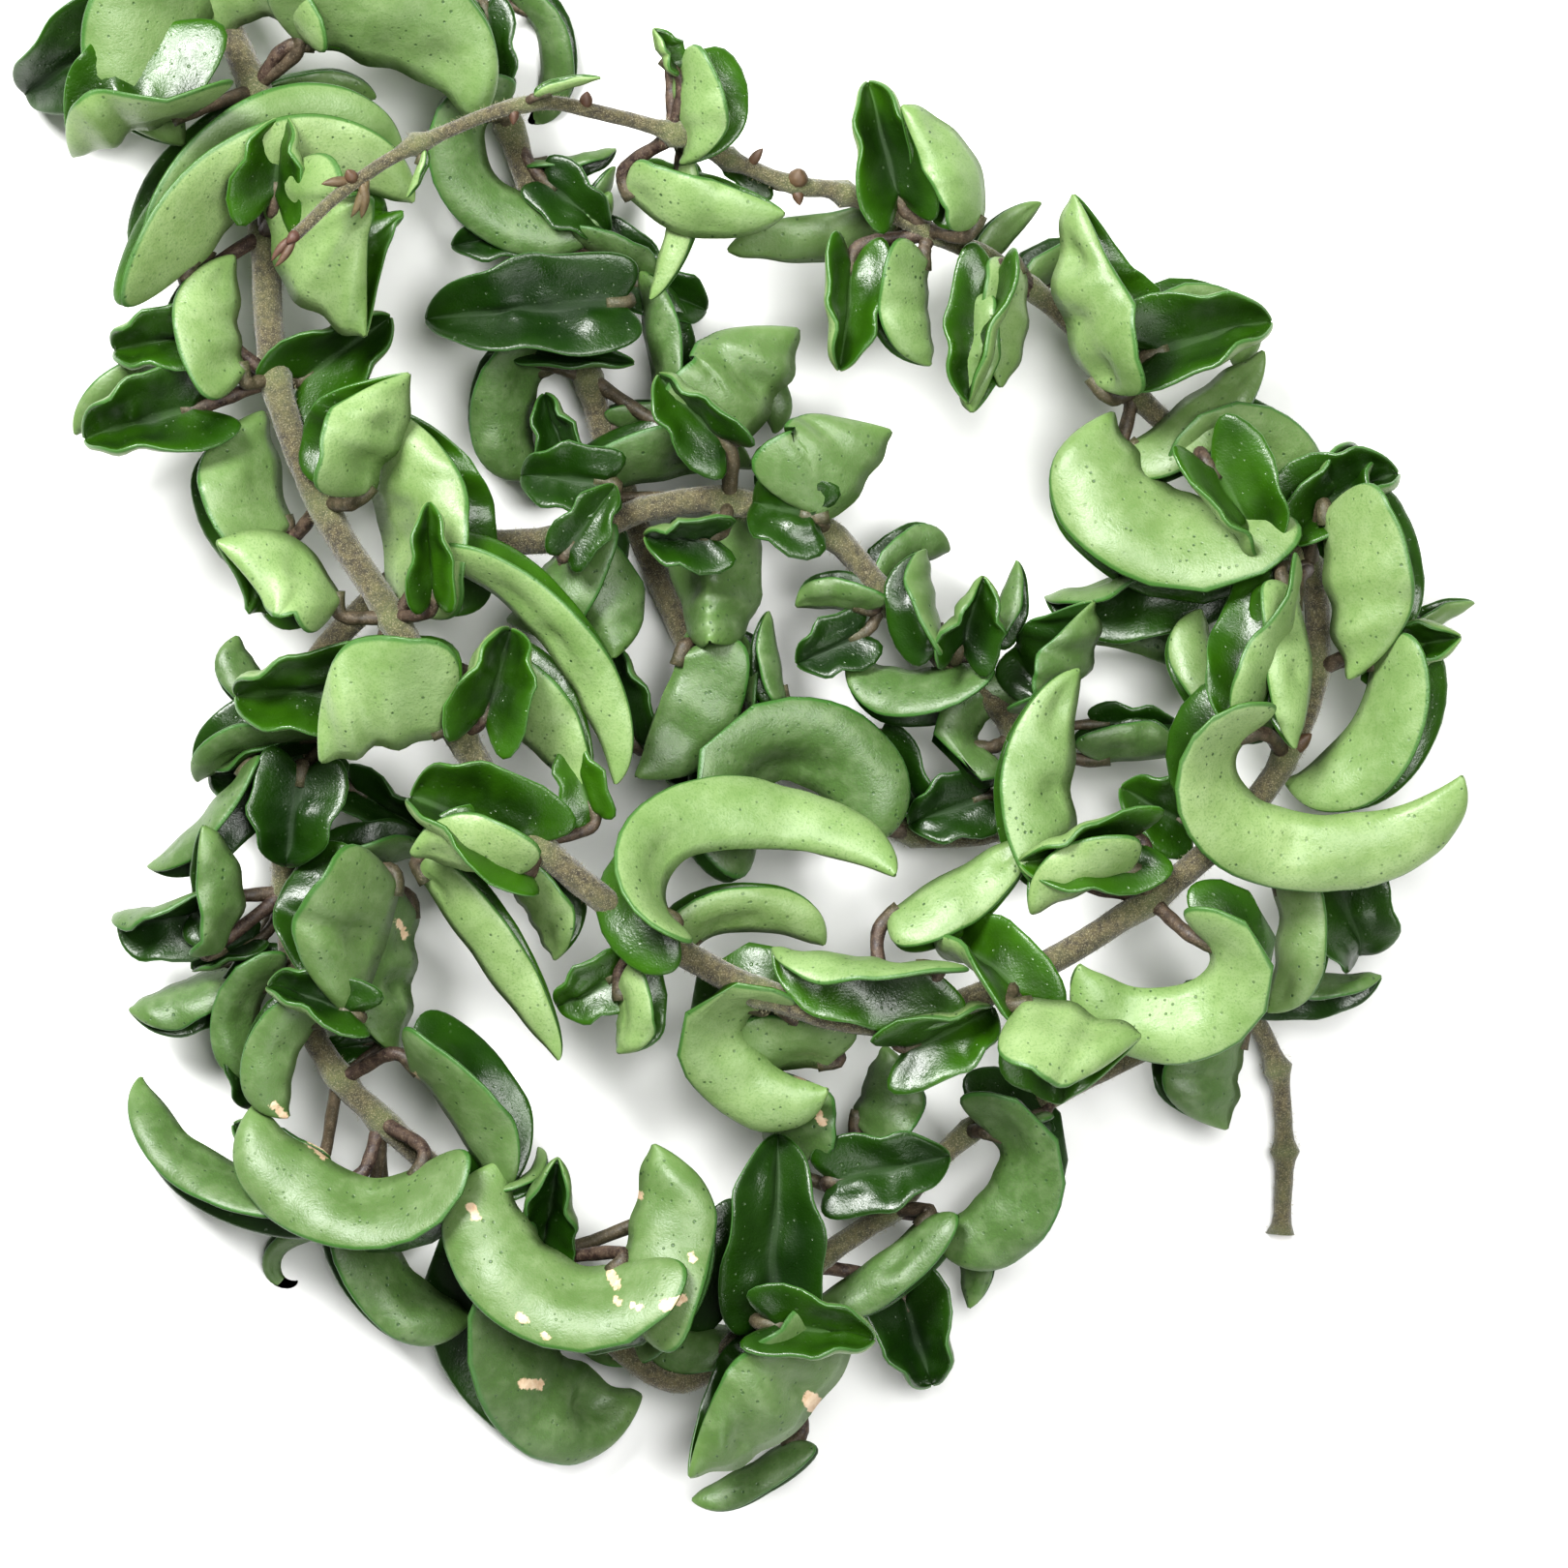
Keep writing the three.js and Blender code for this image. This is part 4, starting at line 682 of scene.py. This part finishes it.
def blade_points(leaf, form, frames, share, place):
    """The blade's middle surface. The place across runs from -1 at one margin to 1 at the other."""
    points, alongs, openings = frames
    out = np.abs(place)
    side = np.where(place > 0, 1, -1)
    reach = form.lobe * leaf.half_width * out**1.5 * np.sin(math.pi * rounded_foot(share))
    distance = share * leaf.length - reach
    row = np.clip(distance / leaf.length * MIDRIB_STEPS, 0, MIDRIB_STEPS)
    start = np.minimum(row.astype(int), MIDRIB_STEPS - 1)
    part = (row - start)[..., None]
    middle = lerp(points[start], points[start + 1], part)
    along = unit(lerp(alongs[start], alongs[start + 1], part))
    opening = unit(lerp(openings[start], openings[start + 1], part))
    middle = middle + along * np.minimum(distance, 0)[..., None]
    opened = np.clip((share - reach / leaf.length) * 1.6, 0, 1)
    at_midrib = lerp(form.foot[0], form.blade[0], opened) * DEGREE
    at_margin = lerp(form.foot[1], form.blade[1], opened) * DEGREE
    angle = lerp(at_midrib, at_margin, out)
    radius = leaf.half_width * outline(share, form.taper) / (at_margin - at_midrib)
    waves = np.sin(2 * math.pi * (2.2 * share + 0.25 * side)) * np.sin(math.pi * share)
    across = radius * (np.sin(angle) - np.sin(at_midrib)) + form.wave * out**2 * waves
    up = radius * (np.cos(at_midrib) - np.cos(angle))
    sideways = np.cross(along, opening)
    return middle + sideways * (side * across)[..., None] + opening * up[..., None]


def blade_normals(leaf, form, frames, share, place):
    small = 0.01
    ahead = blade_points(leaf, form, frames, share + small, place)
    behind = blade_points(leaf, form, frames, share - small, place)
    right = blade_points(leaf, form, frames, share, place + small)
    left = blade_points(leaf, form, frames, share, place - small)
    return unit(np.cross(right - left, ahead - behind))


def own_draws(leaf, by_x, by_y, by_length):
    """Random draws that belong to one leaf, the same on each run."""
    return np.random.default_rng(int(abs(leaf.x * by_x + leaf.y * by_y + leaf.length * by_length)))


def relief(leaf, share, place):
    """How far the blade's flesh is pushed towards its inside: puckers by the midrib, soft unevenness."""
    draw = own_draws(leaf, 7, 131, 17)
    height = np.zeros_like(share)
    for _ in range(max(2, int(leaf.length / PUCKER_SPACING))):
        centre = draw.uniform(0.08, 0.8)
        width = draw.uniform(1.8, 4.2) / leaf.length
        side = draw.choice((-1, 1))
        reach = draw.uniform(0.18, 0.4)
        spread = draw.uniform(0.14, 0.26)
        bump = np.exp(-(((share - centre) / width) ** 2)) * np.exp(-(((place * side - reach) / spread) ** 2))
        height += PUCKER_DEPTH * leaf.half_width * draw.uniform(0.35, 1.0) * bump
    for _ in range(4):
        turns, tilt, phase = draw.uniform(1, 4), draw.uniform(-2.5, 2.5), draw.uniform(0, 6.3)
        waves = np.sin(2 * math.pi * turns * share + tilt * place + phase)
        height += UNEVEN_DEPTH * leaf.half_width * waves
    fade = np.minimum(1, share / 0.06) * np.minimum(1, (1 - share) / 0.08) * (1 - np.abs(place) ** 4)
    return height * fade


def margin_ripple(leaf, share, place):
    """Fine extra waves of the margin, along the blade's normal."""
    draw = own_draws(leaf, 13, 57, 5)
    waves = 0
    for length in RIPPLE_LENGTHS:
        right, left = draw.uniform(0, 6.3, 2)
        waves = waves + np.sin(2 * math.pi * share * leaf.length / length + np.where(place > 0, right, left))
    fade = np.abs(place) ** 5 * np.sin(math.pi * np.clip(share, 0, 1)) ** 0.7
    return RIPPLE_DEPTH * leaf.half_width * waves * fade


def blade_skins(leaf, share, place):
    """The inner and the outer skin of a blade, which meet at the rim, and the point of its tip."""
    form = LEAF_FORMS[leaf.form]
    frames = midrib_frames(leaf, form)
    middle = blade_points(leaf, form, frames, share, place)
    normal = blade_normals(leaf, form, frames, share, np.clip(place, -0.985, 0.985))
    push = relief(leaf, share, place) + margin_ripple(leaf, share, place)
    middle = middle + normal * push[..., None]
    rounded = np.sqrt(np.maximum(0, 1 - np.abs(place) ** 6))
    ends = np.sqrt(np.clip(share / 0.05, 0, 1)) * (1 - 0.6 * np.maximum(0, 2 * share - 1) ** 3)
    slimness = min(1, leaf.half_width / THICK_FROM_HALF_WIDTH) ** 0.5
    thick = BLADE_THICKNESS / 2 * slimness * rounded * ends
    crease = CREASE_DEPTH * np.exp(-((place / 0.05) ** 2)) * np.sin(math.pi * np.clip(share, 0, 1)) ** 0.5
    inner = middle + normal * thick[..., None]
    outer = middle - normal * (thick - crease)[..., None]
    return inner, outer, blade_points(leaf, form, frames, np.array([1.0]), np.array([0.0]))


def blade_faces(inner_ids, outer_ids, tip_id):
    """Faces of both skins, closed at the tip."""
    faces = []
    for ids, order in ((inner_ids, (0, 1, 2, 3)), (outer_ids, (0, 3, 2, 1))):
        corners = np.stack([ids[:-1, :-1], ids[:-1, 1:], ids[1:, 1:], ids[1:, :-1]], axis=-1)
        faces.extend(corners.reshape(-1, 4)[:, order].tolist())
        ends = ids[-1].tolist() if order[1] == 1 else ids[-1, ::-1].tolist()
        faces.extend((left, right, tip_id) for left, right in zip(ends, ends[1:]))
    return faces


def blade_body(leaf):
    """Points, faces and attributes of one closed leaf."""
    stations = int(np.clip(leaf.length / STATION_LENGTH, *STATIONS))
    columns = 2 * MARGIN_COLUMNS + 1
    steps = np.arange(-MARGIN_COLUMNS, MARGIN_COLUMNS + 1) / MARGIN_COLUMNS
    places = np.sin(steps * math.pi / 2)
    share, place = np.meshgrid(rows_down(stations), places, indexing="ij")
    inner, outer, tip = blade_skins(leaf, share, place)
    points = np.vstack([inner.reshape(-1, 3), outer.reshape(-1, 3), tip])
    inner_ids = np.arange(stations * columns).reshape(stations, columns)
    outer_ids = inner_ids + stations * columns
    outer_ids[:, 0], outer_ids[:, -1], outer_ids[0] = inner_ids[:, 0], inner_ids[:, -1], inner_ids[0]
    faces = blade_faces(inner_ids, outer_ids, len(points) - 1)
    side = np.zeros((stations, columns))
    side[:, 0] = side[:, -1] = side[0] = 0.5
    outside = np.concatenate([side.ravel(), np.ones(stations * columns), [0.5]])
    along = np.concatenate([share.ravel(), share.ravel(), [1.0]])
    across = np.concatenate([np.abs(place).ravel(), np.abs(place).ravel(), [0.0]])
    used = np.zeros(len(points), bool)
    used[np.unique(np.concatenate([np.ravel(face) for face in faces]))] = True
    renumber = np.cumsum(used) - 1
    faces = [tuple(renumber[i] for i in face) for face in faces]
    return points[used], faces, outside[used], along[used], across[used]


def leaves_piece(name, leaves, material, shade_from):
    surface = Surface("outside", "along", "across", "tone", "deep")
    for leaf in leaves:
        points, faces, outside, along, across = blade_body(leaf)
        # painted shade, stronger the lower a leaf lies, partly the deeper green of older leaves
        deep = np.clip((shade_from - leaf.z) / SHADE_DEPTH, 0, 1)
        surface.add(points, faces, outside=outside, along=along, across=across, tone=rng.random(), deep=deep)
    return surface.piece(name, material)


# Stalks and buds


def stalk_line(leaf, route):
    """The stalk's curve, from the middle of the stem into the midrib."""
    node = np.array(route[leaf.node], float)
    foot, along, _ = leaf_frame(leaf)
    bend = min(0.35 * np.linalg.norm(node - foot), 5)
    a, b = node, lerp(node, foot, 0.4)
    c, d = foot - along * bend, foot
    t = np.linspace(0, 1, STALK_RINGS)[:, None]
    curve = a * (1 - t) ** 3 + 3 * b * t * (1 - t) ** 2 + 3 * c * t**2 * (1 - t) + d * t**3
    return np.vstack([curve, foot + along * STALK_SUNK / 2, foot + along * STALK_SUNK])


def stalks_piece(name, route, leaves, material):
    surface = Surface("way", "tone")
    for leaf in leaves:
        line = stalk_line(leaf, route)
        way = np.linspace(0, 1, len(line))
        radius = STALK_RADIUS * min(1, 0.45 + leaf.half_width / 14)
        flare = 1 + 0.35 * np.exp(-((way / 0.12) ** 2)) + 0.15 * np.exp(-(((1 - way) / 0.2) ** 2))
        bumps = 1 + 0.06 * np.sin(way * 23 + leaf.x)
        points, faces = tube(line, radius * flare * bumps, STALK_SIDES)
        surface.add(points, faces, way=on_tube(way, STALK_SIDES, 0, 1), tone=rng.random())
    return surface.piece(name, material)


def buds_piece(name, material):
    """Buds and scale leaves that stand on the stems, each a slim closed cone with a round foot."""
    surface = Surface("ripe")
    way = np.linspace(0, 1, BUD_RINGS)
    for place, heading, pitch, length, radius, bow, ripe in BUDS:
        climb = pitch * DEGREE
        angle = heading * DEGREE + bow * DEGREE * way
        steps = np.stack([np.cos(angle) * math.cos(climb), np.sin(angle) * math.cos(climb)], axis=1)
        line = np.column_stack([steps, np.full(BUD_RINGS, math.sin(climb))]).cumsum(axis=0)
        foot = curve_points(LONG_ROUTE, [place / (len(LONG_ROUTE) - 1)])
        line = foot + line * length / BUD_RINGS
        radii = radius * np.sqrt(1 - way**2 * 0.99) * (0.75 + 0.5 * np.sin(math.pi * way))
        points, faces = tube(line, radii, BUD_SIDES)
        surface.add(points, faces, ripe=ripe)
    return surface.piece(name, material)


# Materials


class Nodes:
    """A material's node tree with short calls to add and join nodes."""

    def __init__(self, name):
        self.material = bpy.data.materials.new(name)
        self.material.use_nodes = True
        self.tree = self.material.node_tree
        self.tree.nodes.clear()
        self.shader = self.add("ShaderNodeBsdfPrincipled")
        output = self.add("ShaderNodeOutputMaterial")
        self.join(self.shader.outputs[0], output.inputs[0])
        self.position = self.add("ShaderNodeTexCoord").outputs["Object"]

    def add(self, kind, **settings):
        node = self.tree.nodes.new(kind)
        for key, value in settings.items():
            setattr(node, key, value)
        return node

    def join(self, output, socket):
        self.tree.links.new(output, socket)

    def put(self, socket, value):
        if isinstance(value, bpy.types.NodeSocket):
            self.join(value, socket)
        else:
            socket.default_value = value

    def attribute(self, name):
        return self.add("ShaderNodeAttribute", attribute_name=name).outputs["Fac"]

    def texture(self, kind, **inputs):
        node = self.add(kind)
        for key, value in {"Vector": self.position, **inputs}.items():
            self.put(node.inputs[key], value)
        return node

    def noise(self, scale, detail):
        texture = self.texture("ShaderNodeTexNoise", Scale=scale, Detail=detail, Roughness=NOISE_ROUGHNESS)
        return texture.outputs["Fac"]

    def calculated(self, kind, values, **settings):
        """The outputs of a node whose first sockets hold these values."""
        node = self.add(kind, **settings)
        for socket, value in zip(node.inputs, values):
            self.put(socket, value)
        return node.outputs

    def math(self, operation, *values):
        return self.calculated("ShaderNodeMath", values, operation=operation)[0]

    def times(self, first, second):
        return self.math("MULTIPLY", first, second)

    def vector(self, operation, *values):
        found = self.calculated("ShaderNodeVectorMath", values, operation=operation)
        return found["Value" if operation in ("DOT_PRODUCT", "DISTANCE") else "Vector"]

    def between(self, value, low, high, to_low=0.0, to_high=1.0, steps="LINEAR"):
        """value carried from the range low to high onto to_low to to_high, held at the ends."""
        values = (value, low, high, to_low, to_high)
        return self.calculated("ShaderNodeMapRange", values, interpolation_type=steps)[0]

    def mix(self, share, first, second):
        """Mixed colours, each a row of three numbers or another node's output."""
        node = self.add("ShaderNodeMix", data_type="RGBA")
        self.put(node.inputs["Factor"], share)
        for key, colour in (("A", first), ("B", second)):
            self.put(node.inputs[key], (*colour, 1) if isinstance(colour, tuple) else colour)
        return node.outputs["Result"]

    def covered(self, base, *covers):
        """The base colour under covers, each a share and a colour."""
        for share, colour in covers:
            base = self.mix(share, base, colour)
        return base

    def dots(self, scale, size, share):
        """Round dots of a size in cell widths, in this share of the cells."""
        node = self.texture("ShaderNodeTexVoronoi", Scale=scale)
        chosen = self.add("ShaderNodeSeparateColor")
        self.join(node.outputs["Color"], chosen.inputs[0])
        there = self.math("LESS_THAN", chosen.outputs[0], share)
        radius = self.between(chosen.outputs[1], 0, 1, size * 0.4, size)
        inside = self.between(self.math("DIVIDE", node.outputs["Distance"], radius), 0.6, 1.1, 1, 0)
        return self.times(there, inside)

    def bump(self, height, distance, strength):
        node = self.add("ShaderNodeBump")
        for key, value in (("Strength", strength), ("Distance", distance), ("Height", height)):
            self.put(node.inputs[key], value)
        self.join(node.outputs[0], self.shader.inputs["Normal"])

    def finished(self, colour, roughness):
        self.put(self.shader.inputs["Base Color"], colour)
        self.put(self.shader.inputs["Roughness"], roughness)
        return self.material


def scar_mask(nodes):
    """1 inside the scars, with ragged edges."""
    flat = nodes.vector("MULTIPLY", nodes.position, (1, 1, 0))
    ragged = nodes.between(nodes.noise(1100, 3), 0.25, 0.75, -0.4 * MM, 0.5 * MM)
    found = None
    for x, y, end_x, end_y, half_width in SCARS:
        start = to_metres((x, y, ORIGIN[2]))
        stroke = to_metres((end_x, end_y, ORIGIN[2])) - start
        reach = nodes.vector("SUBTRACT", flat, start)
        share = nodes.math("DIVIDE", nodes.vector("DOT_PRODUCT", reach, stroke), float(stroke @ stroke))
        share = nodes.between(share, 0, 1)
        distance = nodes.vector("DISTANCE", reach, nodes.vector("MULTIPLY", stroke, share))
        distance = nodes.math("ADD", distance, ragged)
        inside = nodes.between(distance, half_width * MM, (half_width + 0.25) * MM, 1, 0)
        found = inside if found is None else nodes.math("MAXIMUM", found, inside)
    return found


def leaf_colour(nodes, broad, middle, fine, specks, scarred):
    """Pale waxy outside, dark glossy inside and a fine light rim between them, with painted shade on leaves
    that lie low.
    """
    outside, along, across = (nodes.attribute(key) for key in ("outside", "along", "across"))
    tone, deep = nodes.attribute("tone"), nodes.attribute("deep")
    edge = nodes.between(across, 0.945, 0.975, steps="SMOOTHSTEP")
    pale = nodes.covered(
        nodes.mix(nodes.between(broad, 0.35, 0.65), *WAX_GREENS),
        (nodes.between(tone, 0, 1, 0, 0.4), DULL_GREEN),
        # painted shade on leaves that lie low
        (nodes.times(deep, 0.9), SHADED_GREEN),
        (nodes.between(middle, 0.45, 0.8, 0, 0.2), BLOOM),
        (nodes.between(middle, 0.2, 0.45, 0.2, 0), BLOTCH),
        (nodes.between(fine, 0.5, 0.68, 0, 0.4), PORES),
        (nodes.between(along, 0.82, 1, 0, 0.4), TIP_GREEN),
        (nodes.between(across, 0.0, 0.05, 0.35, 0), MIDRIB_GREEN),
        (specks, SPECK_GREEN),
        (nodes.times(edge, 0.85), EDGE_GREEN),
    )
    dark = nodes.covered(
        nodes.mix(nodes.between(broad, 0.38, 0.66), *DARK_GREENS),
        (nodes.between(across, 0.6, 1, 0, 0.35), LIT_GREEN),
        # painted shade on leaves that lie low
        (nodes.times(deep, 0.7), AGED_AND_SHADED_DARK_GREEN),
        (nodes.times(specks, 0.3), DUST),
    )
    rim = nodes.times(nodes.between(outside, 0.2, 0.45), nodes.between(outside, 0.5, 0.62, 1, 0))
    colour = nodes.mix(nodes.between(outside, 0.6, 0.75), dark, pale)
    colour = nodes.mix(nodes.times(rim, 0.5), colour, RIM_GREEN)
    if scarred:
        scar = nodes.times(scar_mask(nodes), nodes.between(outside, 0.7, 0.8))
        colour = nodes.mix(scar, colour, nodes.mix(nodes.noise(700, 2), *SCAR_SKINS))
    return colour


def leaf_roughness(nodes, middle):
    """Matt outside, glossy inside."""
    outside, across = nodes.attribute("outside"), nodes.attribute("across")
    matt = nodes.between(middle, 0.3, 0.7, 0.38, 0.48)
    gloss = nodes.between(middle, 0.3, 0.7, 0.27, 0.38)
    gloss = nodes.math("MAXIMUM", gloss, nodes.between(across, 0.05, 0.4, 0.8, 0))
    rough = nodes.add("ShaderNodeMix", data_type="FLOAT")
    nodes.join(nodes.between(outside, 0.4, 0.6), rough.inputs["Factor"])
    nodes.join(gloss, rough.inputs["A"])
    nodes.join(matt, rough.inputs["B"])
    return rough.outputs["Result"]


def leaf_material(name, scarred):
    nodes = Nodes(name)
    broad, middle, fine = nodes.noise(70, 3), nodes.noise(320, 4), nodes.noise(2600, 2)
    crowd = nodes.between(nodes.noise(110, 2), 0.4, 0.62, 0.35, 1)
    specks = nodes.times(nodes.dots(780, 0.26, 0.55), nodes.times(crowd, 0.85))
    height = nodes.math("ADD", nodes.times(middle, 0.8), nodes.times(fine, 0.25))
    height = nodes.math("SUBTRACT", height, nodes.times(specks, 0.5))
    nodes.bump(height, 0.3 * MM, 0.7)
    colour = leaf_colour(nodes, broad, middle, fine, specks, scarred)
    return nodes.finished(colour, leaf_roughness(nodes, middle))


def stem_material():
    nodes = Nodes("felted_stem")
    broad, middle, fine = nodes.noise(160, 3), nodes.noise(900, 4), nodes.noise(4200, 3)
    bark = nodes.covered(
        nodes.mix(nodes.between(middle, 0.35, 0.65), *BARKS),
        (nodes.between(broad, 0.4, 0.7, 0, 0.35), GREEN_BARK),
        (nodes.times(nodes.attribute("node"), 0.45), NODE_BARK),
        (nodes.between(fine, 0.52, 0.7, 0, 0.7), SCURF),
        (nodes.between(nodes.attribute("cut"), 0.2, 0.6), CUT_WOOD),
    )
    nodes.shader.inputs["Sheen Weight"].default_value = 0.35
    nodes.bump(nodes.math("ADD", middle, nodes.times(fine, 0.5)), 0.45 * MM, 0.8)
    return nodes.finished(bark, nodes.between(middle, 0.3, 0.7, 0.7, 0.92))


def stalk_material():
    nodes = Nodes("leaf_stalk")
    middle, fine = nodes.noise(700, 4), nodes.noise(3600, 2)
    skin = nodes.covered(
        nodes.mix(nodes.between(middle, 0.35, 0.65), *STALK_SKINS),
        (nodes.between(nodes.attribute("tone"), 0.3, 1, 0, 0.6), YOUNG_STALK),
        (nodes.between(nodes.attribute("way"), 0.7, 1, 0, 0.4), STALK_FOOT),
        (nodes.between(fine, 0.55, 0.72, 0, 0.45), STALK_SCURF),
    )
    nodes.bump(middle, 0.3 * MM, 0.7)
    return nodes.finished(skin, nodes.between(middle, 0.3, 0.7, 0.45, 0.7))


def bud_material():
    nodes = Nodes("bud")
    middle = nodes.noise(900, 3)
    green, red = nodes.mix(middle, *GREEN_BUDS), nodes.mix(middle, *RED_BUDS)
    nodes.bump(middle, 0.2 * MM, 0.6)
    return nodes.finished(nodes.mix(nodes.attribute("ripe"), green, red), 0.55)


def felt_material():
    nodes = Nodes("stem_hair")
    hair = nodes.mix(nodes.attribute("shade"), *HAIRS)
    hair = nodes.mix(nodes.between(nodes.noise(300, 2), 0.4, 0.7, 0, 0.4), hair, GREEN_HAIR)
    return nodes.finished(hair, 0.7)


def floor_material():
    nodes = Nodes("pale_floor")
    return nodes.finished(nodes.mix(nodes.between(nodes.noise(40, 4), 0.3, 0.7), *FLOOR_TONES), 0.75)


# Stage


def add_floor():
    mesh = bpy.data.meshes.new("floor")
    corners = [(x * FLOOR_HALF, y * FLOOR_HALF, 0) for x, y in ((-1, -1), (1, -1), (1, 1), (-1, 1))]
    mesh.from_pydata(corners, [], [(0, 1, 2, 3)])
    mesh.materials.append(floor_material())
    placed("floor", mesh)


def add_light(name, place, size, power):
    """An area light that shines at the origin."""
    light = bpy.data.lights.new(name, "AREA")
    light.size = size
    light.energy = power
    lamp = placed(name, light)
    lamp.location = place
    lamp.rotation_mode = "QUATERNION"
    lamp.rotation_quaternion = (-Vector(place)).to_track_quat("-Z", "Y")


def add_sky():
    world = bpy.data.worlds.new("studio")
    world.use_nodes = True
    background = world.node_tree.nodes["Background"]
    background.inputs["Color"].default_value = (1, 1, 1, 1)
    background.inputs["Strength"].default_value = SKY_STRENGTH
    bpy.context.scene.world = world


def add_camera():
    camera = bpy.data.cameras.new("camera")
    camera.sensor_width = SENSOR_WIDTH
    camera.lens = SENSOR_WIDTH * (CAMERA_HEIGHT - FRAME_HEIGHT) / FRAME_WIDTH
    camera.clip_start, camera.clip_end = CAMERA_CLIP
    holder = placed("camera", camera)
    holder.location = to_metres((0, 0, CAMERA_HEIGHT))
    bpy.context.scene.camera = holder


# The plant


def build_vine(name, route, radii, rows, stretches, materials):
    leaves = [Leaf(*row) for row in rows]
    pieces = [
        stem_piece(f"{name}_stem", route, radii, leaves, materials["stem"]),
        felt_piece(f"{name}_felt", route, radii, leaves, materials["felt"]),
        stalks_piece(f"{name}_stalks", route, leaves, materials["stalk"]),
    ]
    for stretch, (first, last) in stretches.items():
        chosen = [leaf for leaf in leaves if first <= leaf.node <= last]
        skin = materials["scarred" if stretch in SCARRED_STRETCHES.get(name, ()) else "leaf"]
        pieces.append(leaves_piece(f"{name}_leaves_{stretch}", chosen, skin, SHADE_FROM[name]))
    for piece in pieces:
        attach(piece, "root")
    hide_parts(name)


def main():
    materials = {
        "leaf": leaf_material("leaf", False),
        "scarred": leaf_material("scarred_leaf", True),
        "stem": stem_material(),
        "stalk": stalk_material(),
        "felt": felt_material(),
        "bud": bud_material(),
    }
    build_vine("long_vine", LONG_ROUTE, LONG_STEM_RADII, LONG_LEAVES, LONG_STRETCHES, materials)
    build_vine("coiled_vine", COILED_ROUTE, COILED_STEM_RADII, COILED_LEAVES, COILED_STRETCHES, materials)
    buds = buds_piece("buds", materials["bud"])
    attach(buds, "root")
    add_floor()
    for name, settings in LIGHTS.items():
        add_light(name, *settings)
    add_sky()
    add_camera()
    bpy.context.scene.view_settings.view_transform = "Standard"
    bpy.context.scene.view_settings.look = "Medium High Contrast"


main()
